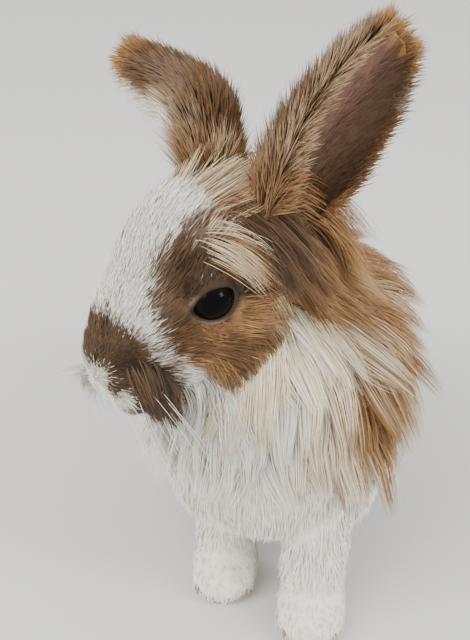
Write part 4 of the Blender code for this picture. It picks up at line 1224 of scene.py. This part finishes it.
# Long hair that grows from bands of the head, for the left side, in millimetres of the head's frame: the
# band's line and half width, hairs, lie, length, hang, depth over the skin, locks and colours along it.
CURTAINS = {
    "beard": {
        "line": ((14, 15, -34), (4, 21, -35), (-8, 27, -35), (-20, 31, -29)),
        "half": 6, "count": 3000, "lie": (-0.12, 0.20, -0.95), "length": 38, "hang": 0.60,
        "depth": (1, 10), "locks": 90, "colours": ("white", "white", "cream", "cream", "cream"),
    },
    "temple": {
        "line": ((-18, 17, 27), (-24, 24, 16), (-29, 26, 4), (-32, 26, -12)),
        "half": 6.5, "count": 2400, "lie": (-0.55, 0.25, -0.75), "length": 34, "hang": 0.32,
        "depth": (0.5, 6), "locks": 90, "colours": ("brown", "dark", "tan", "brown", "orange", "tan"),
    },
    "nape": {
        "line": ((-36, 10, 26), (-44, 13, 14), (-46, 15, 0), (-43, 18, -16)),
        "half": 8, "count": 2250, "lie": (-0.75, 0.35, -0.45), "length": 54, "hang": 0.42,
        "depth": (2, 12), "locks": 100, "colours": ("tan", "orange", "tan", "sand", "orange"),
    },
    "brow": {
        "line": ((-3, 21, 22), (-10, 23, 19), (-17, 25, 13)),
        "half": 6, "count": 330, "lie": (-0.80, 0.12, -0.56), "length": 25, "hang": 0.24,
        "depth": (0.6, 4.5), "locks": 150, "colours": ("cream", "tan", "sand", "tan"), "width": 0.18,
    },
    "crown": {
        "line": ((-14, 6, 32), (-18, 13, 28), (-20, 19, 22)),
        "half": 6.5, "count": 900, "lie": (-0.75, 0.35, 0.30), "length": 19, "hang": 0.02,
        "depth": (0.5, 4), "locks": 110, "colours": ("cream", "tan", "sand", "brown"),
    },
    "cheek": {
        "line": ((10, 21, -24), (-2, 27, -29), (-14, 34, -24), (-22, 33, -10)),
        "half": 5, "count": 800, "lie": (-0.45, 0.20, -0.85), "length": 14, "hang": 0.30,
        "depth": (0.3, 4), "locks": 120, "colours": ("tan", "brown", "tan", "brown", "sand"),
        "width": 0.24,
    },
    "lip": {
        "line": ((33, 15, -14), (30, 16, -24), (24, 13, -36), (20, 10, -40)),
        "half": 5.5, "count": 1000, "lie": (-0.25, 0.20, -0.95), "length": 14, "hang": 0.35,
        "depth": (0.3, 3), "locks": 160, "colours": ("umber", "dark", "umber", "dark", "brown"),
    },
    "whisker_pad": {
        "line": ((38, 10, -20), (36, 13, -27), (31, 14, -32)),
        "half": 3.5, "count": 560, "lie": (0.35, 0.95, -0.45), "length": 20, "hang": 0.34,
        "depth": (2, 11), "locks": 14, "colours": ("white", "white"), "only": -1, "soft": False,
    },
}


# The far side turns its long hair away from the camera and needs fewer strands.
FAR_SHARE = 0.6
LONG_HAIR_WIDTH = 0.31
BAND_STATIONS = 61


def curtain(name, facts, side):
    """One band of long hair, drawn into locks that lie over one another."""
    count = int(facts["count"] * (1.0 if side == 1 else FAR_SHARE))
    line = evenly(in_metres(facts["line"]) * (1, side, 1), BAND_STATIONS)
    share = rng.random(count)
    middle = line[(share * (BAND_STATIONS - 1)).astype(int)]
    wanted = from_head(middle + in_metres(facts["half"]) * rng.uniform(-1, 1, (count, 3)))
    near = [head_tree.find_nearest(Vector(point)) for point in wanted]
    roots = np.array([hit[0] for hit in near])
    normals = np.array([hit[1] for hit in near])
    keep = field.at(roots)[0] > -0.0030
    roots, normals, share = roots[keep], normals[keep], share[keep]
    count = len(roots)
    lie = np.tile(head_way(np.array(facts["lie"]) * (1, side, 1)), (count, 1))
    lie = wandering(roots, lie, normals, 0.07, 0.007, 0.25)
    length = uneven(in_metres(facts["length"]), count)
    lift = raised(20, 6, count)
    depth = rng.uniform(*in_metres(facts["depth"]), count)
    hang = uneven(facts["hang"], count, 0.8)
    places, outs = grow(roots, normals, lie, length, lift, hang, 5, field, depth)
    places, lock_of = gathered(places, roots, facts["locks"], 0.72)
    tones = np.array([COLOURS[colour] for colour in facts["colours"]])
    shade = between(np.clip(share + 0.08 * noise(roots, 0.004, 31), 0, 1) * (len(tones) - 1), tones)
    tone = 1 + 0.16 * rng.standard_normal(lock_of.max() + 1)
    colour = with_chance(shade * tone[lock_of][:, None], 0.07)
    width = uneven(in_metres(facts.get("width", LONG_HAIR_WIDTH)), count, 0.6, 1.3)
    soft = facts.get("soft", True)
    tufts(f"mane_{name}_{SIDES[side]}", places, outs, width, colour, spherical(roots), fur, soft=soft)


head_tree = BVHTree.FromPolygons(head_skin[0].tolist(), head_skin[1].tolist())
for curtain_name, curtain_facts in CURTAINS.items():
    for side in SIDES:
        if curtain_facts.get("only", side) == side:
            curtain(curtain_name, curtain_facts, side)


def body_lie(roots, normals):
    """Back along the trunk, down the chest, flanks and legs, forward on the feet."""
    _, y, z = roots.T
    chest = smooth_step(0.030, 0.000, y)
    low = smooth_step(0.060, 0.030, z)
    feet = smooth_step(0.020, 0.010, z)
    rear = smooth_step(0.150, 0.190, y)
    way = np.zeros_like(roots)
    way[:, 1] = (1 - chest) * (1 - low) * 1.0 - 1.3 * feet
    way[:, 2] = -0.35 - 0.9 * chest - 0.8 * low * (1 - feet) - 0.8 * rear
    return tangent(way, normals)


def body_coat():
    def on_trunk(p):
        neck = smooth_step(0.104, 0.090, p[:, 2] + 0.20 * (0.02 - p[:, 1]))
        back = smooth_step(0.030, 0.060, p[:, 1])
        chest = 1 + 1.6 * smooth_step(0.040, 0.015, p[:, 1])
        return np.maximum(neck, back) * smooth_step(0.028, 0.050, p[:, 2]) * (p[:, 1] < 0.195) * chest

    roots, normals = rooted(body_skin, BODY_HAIRS, on_trunk)
    count = len(roots)
    lie = wandering(roots, body_lie(roots, normals), normals, 0.12, 0.012, 0.3)
    chest = smooth_step(0.030, 0.005, roots[:, 1])
    length = uneven(0.0150 - 0.0060 * chest, count)
    lift = raised(17 - 7 * chest, 5, count)
    places, outs = grow(roots, normals, lie, length, lift, 0.15, 3)
    places, _ = gathered(places, roots, BODY_LOCKS, 0.45)
    colour = with_chance(body_colour(roots), 0.05)
    width = uneven(0.00085 - 0.00045 * chest, count)
    half = np.arange(count) % 2
    pieces = {"fur_body_1": half == 0, "fur_body_2": half == 1}
    split_tufts(pieces, places, outs, width, colour, cylindrical(roots))


body_coat()


def leg_coat():
    def on_legs(p):
        return smooth_step(0.056, 0.030, p[:, 2]) * (p[:, 1] < 0.195) * smooth_step(0.0008, 0.004, p[:, 2])

    roots, normals = rooted(body_skin, LEG_HAIRS, on_legs)
    keep = roots[:, 2] > LOWEST_ROOT
    roots, normals = roots[keep], normals[keep]
    count = len(roots)
    lie = wandering(roots, body_lie(roots, normals), normals, 0.20)
    high = smooth_step(0.010, 0.040, roots[:, 2])
    length = uneven(0.0036 + 0.0050 * high, count)
    lift = raised(13, 5, count)
    places, outs = grow(roots, normals, lie, length, lift, 0.1, 2, sink=SHORT_SINK)
    places[..., 2] = np.maximum(places[..., 2], LOWEST_HAIR)
    colour = with_chance(body_colour(roots), 0.07)
    width = uneven(0.00060 + 0.00030 * high, count)
    tufts("fur_legs", places, outs, width, colour, cylindrical(roots), fur)


leg_coat()


def tail_coat():
    def on_tail(p):
        return (p[:, 1] > TAIL_START) * 1.0

    roots, normals = scatter(body_skin, TAIL_HAIRS, on_tail)
    lie = tangent(unit(roots - TAIL_MIDDLE) + np.array((0.0, 0.7, -0.35)), normals)
    lie = wandering(roots, lie, normals, 0.2)
    length = uneven(0.0125, TAIL_HAIRS)
    lift = raised(30, 8, TAIL_HAIRS)
    places, outs = grow(roots, normals, lie, length, lift, 0.12, 3)
    places, _ = gathered(places, roots, TAIL_LOCKS, 0.5)
    colour = with_chance(body_colour(roots), 0.09)
    width = uneven(0.0009, TAIL_HAIRS)
    turn = np.arctan2(roots[:, 0] - TAIL_MIDDLE[0], roots[:, 2] - TAIL_MIDDLE[2]) / (2 * math.pi) + 0.5
    uv = np.stack([turn, (roots[:, 1] - 0.185) / 0.045], axis=1)
    tufts("fur_tail", places, outs, width, colour, uv, fur, soft=False)


tail_coat()


def ear_tufts(part, side, places, outs, width, t, s, tint, chance, paler=0.0, inner=False):
    """One part of an ear's fur, in the ear's colours there."""
    colour = with_chance(ear_colour(side, t, s, np.full(len(t), inner)) * tint, chance, paler)
    width = uneven(width, len(t), *((0.7, 1.2) if part == "back" else (0.6, 1.2)))
    uv = np.stack([s / 2.1 + 0.5, t], axis=1)
    tufts(f"fur_ear_{part}_{SIDES[side]}", places, outs, width, colour, uv, fur, soft=inner)


def ear_back_coat(side):
    count = EAR_BACK_HAIRS[side]
    t = rng.uniform(0.10, 0.99, count)
    s = rng.uniform(-1.0, 1.0, count)
    place, back, along, edge = ear_points(side, t, s)
    place = place + back * (EAR_SKIN / 2)
    lie = wandering(place, along + edge * (0.45 * s)[:, None], back, 0.15)
    front = smooth_step(-0.2, 0.9, s * EAR[side]["front"])
    length = uneven(0.0080 + (0.0045 + 0.0080 * front) * (1 - t), count, 0.7, 1.25)
    lift = raised(17 + 14 * front, 6, count)
    places, outs = grow(place, back, lie, length, lift, 0.0, 2, sink=0.0006)
    ear_tufts("back", side, places, outs, 0.00062, t, s, 1.0, 0.14)


def ear_edge_coat(side):
    """The fringe of the ear's edges, longer along the front one."""
    count = EAR_EDGE_HAIRS
    t = rng.uniform(0.12, 1.0, count)
    sign = rng.choice((-1.0, 1.0), count)
    s = sign * rng.uniform(0.93, 1.0, count)
    place, back, along, edge = ear_points(side, t, s)
    lie = unit(along * 0.8 + edge * sign[:, None] * 0.7 + 0.18 * rng.standard_normal(along.shape))
    front = smooth_step(-0.5, 0.5, sign * EAR[side]["front"])
    length = uneven(0.0045 + 0.0050 * front + 0.0050 * (1 - t), count, 0.6, 1.3)
    places, outs = grow(place, back, lie, length, 0.0, 0.0, 3, sink=0.0)
    ear_tufts("edge", side, places, outs, 0.00050, t, s, 1.0, 0.14, 0.15)


def ear_inside_coat(side):
    """Fine hair in the ear, closer towards its edges."""
    count = EAR_INSIDE_HAIRS[side]
    t = rng.uniform(0.10, 0.97, count)
    s = rng.uniform(-1.0, 1.0, count)
    s = np.sign(s) * np.abs(s) ** 0.6
    place, back, along, edge = ear_points(side, t, s)
    place = place - back * (EAR_SKIN / 2)
    lie = wandering(place, along + edge * (0.6 * s)[:, None], -back, 0.15)
    length = uneven(0.0075, count, 0.6, 1.3)
    lift = raised(12, 5, count)
    places, outs = grow(place, -back, lie, length, lift, 0.0, 2, sink=0.0004)
    ear_tufts("inside", side, places, outs, 0.00032, t, s, 1.15, 0.20, inner=True)


for side in SIDES:
    ear_back_coat(side)
    ear_edge_coat(side)
    ear_inside_coat(side)


# Eyes, whiskers and claws


# The eye's rings from the middle out, each with where it starts and ends its change in degrees.
PUPIL = (0.002, 0.0015, 0.0015)
EYE_RINGS = (
    ((0.006, 0.003, 0.002), 34, 40),
    ((0.004, 0.003, 0.002), 50, 56),
    ((0.12, 0.08, 0.065), 66, 72),
)
CORNEA = 0.045


def from_lowest(face):
    """The face's corners from the lowest number on, so that every run lists the faces alike."""
    start = face.index(min(face))
    return face[start:] + face[:start]


def add_eye(side):
    name = f"eye_{SIDES[side]}"
    bm = bmesh.new()
    bmesh.ops.create_uvsphere(bm, u_segments=64, v_segments=40, radius=EYE_RADIUS)
    points = np.array([v.co for v in bm.verts])
    faces = sorted(from_lowest([v.index for v in f.verts]) for f in bm.faces)
    bm.free()
    quads, triangles = (np.array([f for f in faces if len(f) == sides], np.int32) for sides in (4, 3))
    ahead = unit(points) @ lid_frame(side)[0]
    points = points * (1 + CORNEA * smooth_step(0.72, 1.0, ahead))[:, None]
    angle = np.degrees(np.arccos(np.clip(ahead, -1, 1)))
    colour = np.tile(PUPIL, (len(points), 1))
    for ring, start, end in EYE_RINGS:
        colour = mixed(colour, ring, smooth_step(start, end, angle))
    points = from_head(points + eye_middle(side))
    eye = mesh_object(name + "_ball", points, quads, triangles, colour, eye_material())
    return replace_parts(eye, name)


for side in SIDES:
    add_eye(side)


WHISKER_WIDTH = 0.00017
WHISKER_COLOUR = (0.86, 0.84, 0.80)
WHISKERS = 12


def add_whiskers():
    """Three rows of whiskers on each side of the muzzle."""
    roots, ways, lengths = [], [], []
    for side in SIDES:
        for k in range(WHISKERS):
            row, place = k % 3, k // 3
            spot = np.array((0.038 - 0.0030 * place, side * (0.009 + 0.0016 * place), -0.021 - 0.0034 * row))
            roots.append(head_tree.find_nearest(Vector(from_head(spot)))[0])
            way = np.array((0.10 - 0.14 * place, side * 0.50, -0.95 - 0.25 * row))
            ways.append(head_way(unit(way + 0.15 * rng.standard_normal(3))))
            lengths.append(rng.uniform(0.026, 0.050))
    roots, ways = np.array(roots), np.array(ways)
    count = len(roots)
    places, _ = grow(roots, ways, ways, np.array(lengths), 0.0, 0.10, 8)
    colour = np.tile(WHISKER_COLOUR, (count, 1))
    uv = np.stack([np.linspace(0.05, 0.95, count), np.full(count, 0.5)], axis=1)
    outs = np.tile(np.array((0.3, -0.6, 0.7)), (*places.shape[:2], 1))
    tufts("whiskers", places, outs, np.full(count, WHISKER_WIDTH), (colour, colour), uv, fur, 1.0)


add_whiskers()


CLAW_LENGTH = 0.0062
CLAW_DROP = 0.0042
CLAW_RADIUS = 0.0012
CLAW_RINGS, CLAW_SIDES = 6, 10
CLAW_COLOUR = (0.30, 0.22, 0.17)
LOWEST_CLAW = 0.0004


def claw_rings(toe, forward):
    """The points of one claw, ring by ring, curved down to its tip."""
    root = toe + forward * 0.0030 + (0.0, 0.0, 0.0004)
    turns = 2 * math.pi * np.arange(CLAW_SIDES) / CLAW_SIDES
    wide, tall = np.outer(np.cos(turns), np.cross(forward, DOWN)), np.outer(np.sin(turns), DOWN)
    made = []
    for step in np.linspace(0, 1, CLAW_RINGS):
        centre = root + forward * (CLAW_LENGTH * step) + DOWN * (CLAW_DROP * step**1.8 - 0.0008 * step)
        radius = CLAW_RADIUS * (1 - step) ** 0.6 + 0.0001
        made.extend(centre + wide * radius + tall * radius * 1.2)
    return made


def add_claws():
    quads, triangles, points = [], [], []
    tip = (CLAW_RINGS - 1) * CLAW_SIDES
    for side in SIDES:
        toes = [(np.array(toe), np.array((0.0, -1.0, 0.0))) for toe in forepaw_toes(side)]
        toes += [(toe, hindfoot_line(side)[2]) for toe in hindfoot_toes(side)]
        for toe, forward in toes:
            start = len(points)
            points.extend(claw_rings(toe, forward))
            for i in range(CLAW_RINGS - 1):
                for k in range(CLAW_SIDES):
                    row = start + i * CLAW_SIDES
                    a, b = row + k, row + (k + 1) % CLAW_SIDES
                    quads.append((a, b, b + CLAW_SIDES, a + CLAW_SIDES))
            for k in range(1, CLAW_SIDES - 1):
                triangles.append((start, start + k + 1, start + k))
                triangles.append((start + tip, start + tip + k, start + tip + k + 1))
    points = np.array(points)
    points[:, 2] = np.maximum(points[:, 2], LOWEST_CLAW)
    colour = np.tile(CLAW_COLOUR, (len(points), 1))
    claw = coat_material("claw", 0.35, 2500.0, 0.00003)
    mesh_object("claws", points, np.array(quads, np.int32), np.array(triangles, np.int32), colour, claw)


add_claws()


# Floor, light and camera


FLOOR_COLOUR = (0.62, 0.62, 0.61, 1.0)
STUDIO_COLOUR = (0.92, 0.91, 0.89, 1.0)
STUDIO_STRENGTH = 1.65


def add_stage():
    material, _, shader = node_material("floor")
    shader.inputs["Base Color"].default_value = FLOOR_COLOUR
    shader.inputs["Roughness"].default_value = 0.9
    bpy.ops.mesh.primitive_plane_add(size=12.0)
    floor = bpy.context.object
    floor.name = "floor"
    floor.data.materials.append(material)
    world = bpy.data.worlds.new("studio")
    world.use_nodes = True
    background = world.node_tree.nodes["Background"]
    background.inputs["Color"].default_value = STUDIO_COLOUR
    background.inputs["Strength"].default_value = STUDIO_STRENGTH
    bpy.context.scene.world = world


def add_light(name, place, aim, size, power, colour=(1.0, 1.0, 1.0)):
    light = bpy.data.lights.new(name, "AREA")
    light.size = size
    light.energy = power
    light.color = colour
    obj = bpy.data.objects.new(name, light)
    obj.location = Vector(place)
    obj.rotation_mode = "QUATERNION"
    obj.rotation_quaternion = (Vector(aim) - Vector(place)).to_track_quat("-Z", "Y")
    bpy.context.scene.collection.objects.link(obj)


# The camera's turn from straight ahead and its tilt down, its height and its place before the chest.
CAMERA_TURN = math.radians(6.0)
CAMERA_TILT = math.radians(28.0)
CAMERA_HEIGHT = 0.320
CAMERA_BACK = 0.340
CAMERA_LEFT = 0.014
CAMERA_LENS = 59.06


def add_camera():
    data = bpy.data.cameras.new("camera")
    data.lens = CAMERA_LENS
    data.sensor_width = 36.0
    data.clip_start = 0.01
    camera = bpy.data.objects.new("camera", data)
    right = Vector((math.cos(CAMERA_TURN), math.sin(CAMERA_TURN), 0.0))
    ahead = Vector((-math.sin(CAMERA_TURN), math.cos(CAMERA_TURN), 0.0))
    camera.location = BODY - right * CAMERA_LEFT - ahead * CAMERA_BACK + Vector((0.0, 0.0, CAMERA_HEIGHT))
    look = ahead * math.cos(CAMERA_TILT) - Vector((0.0, 0.0, math.sin(CAMERA_TILT)))
    camera.rotation_mode = "QUATERNION"
    camera.rotation_quaternion = look.to_track_quat("-Z", "Y")
    bpy.context.scene.collection.objects.link(camera)
    bpy.context.scene.camera = camera


add_stage()
add_light("key", (-0.9, -0.9, 1.3), (0.0, -0.05, 0.12), 1.3, 27.0, (1.0, 0.97, 0.93))
add_light("fill", (1.1, -0.5, 0.8), (0.0, -0.05, 0.10), 0.4, 10.0)
add_camera()
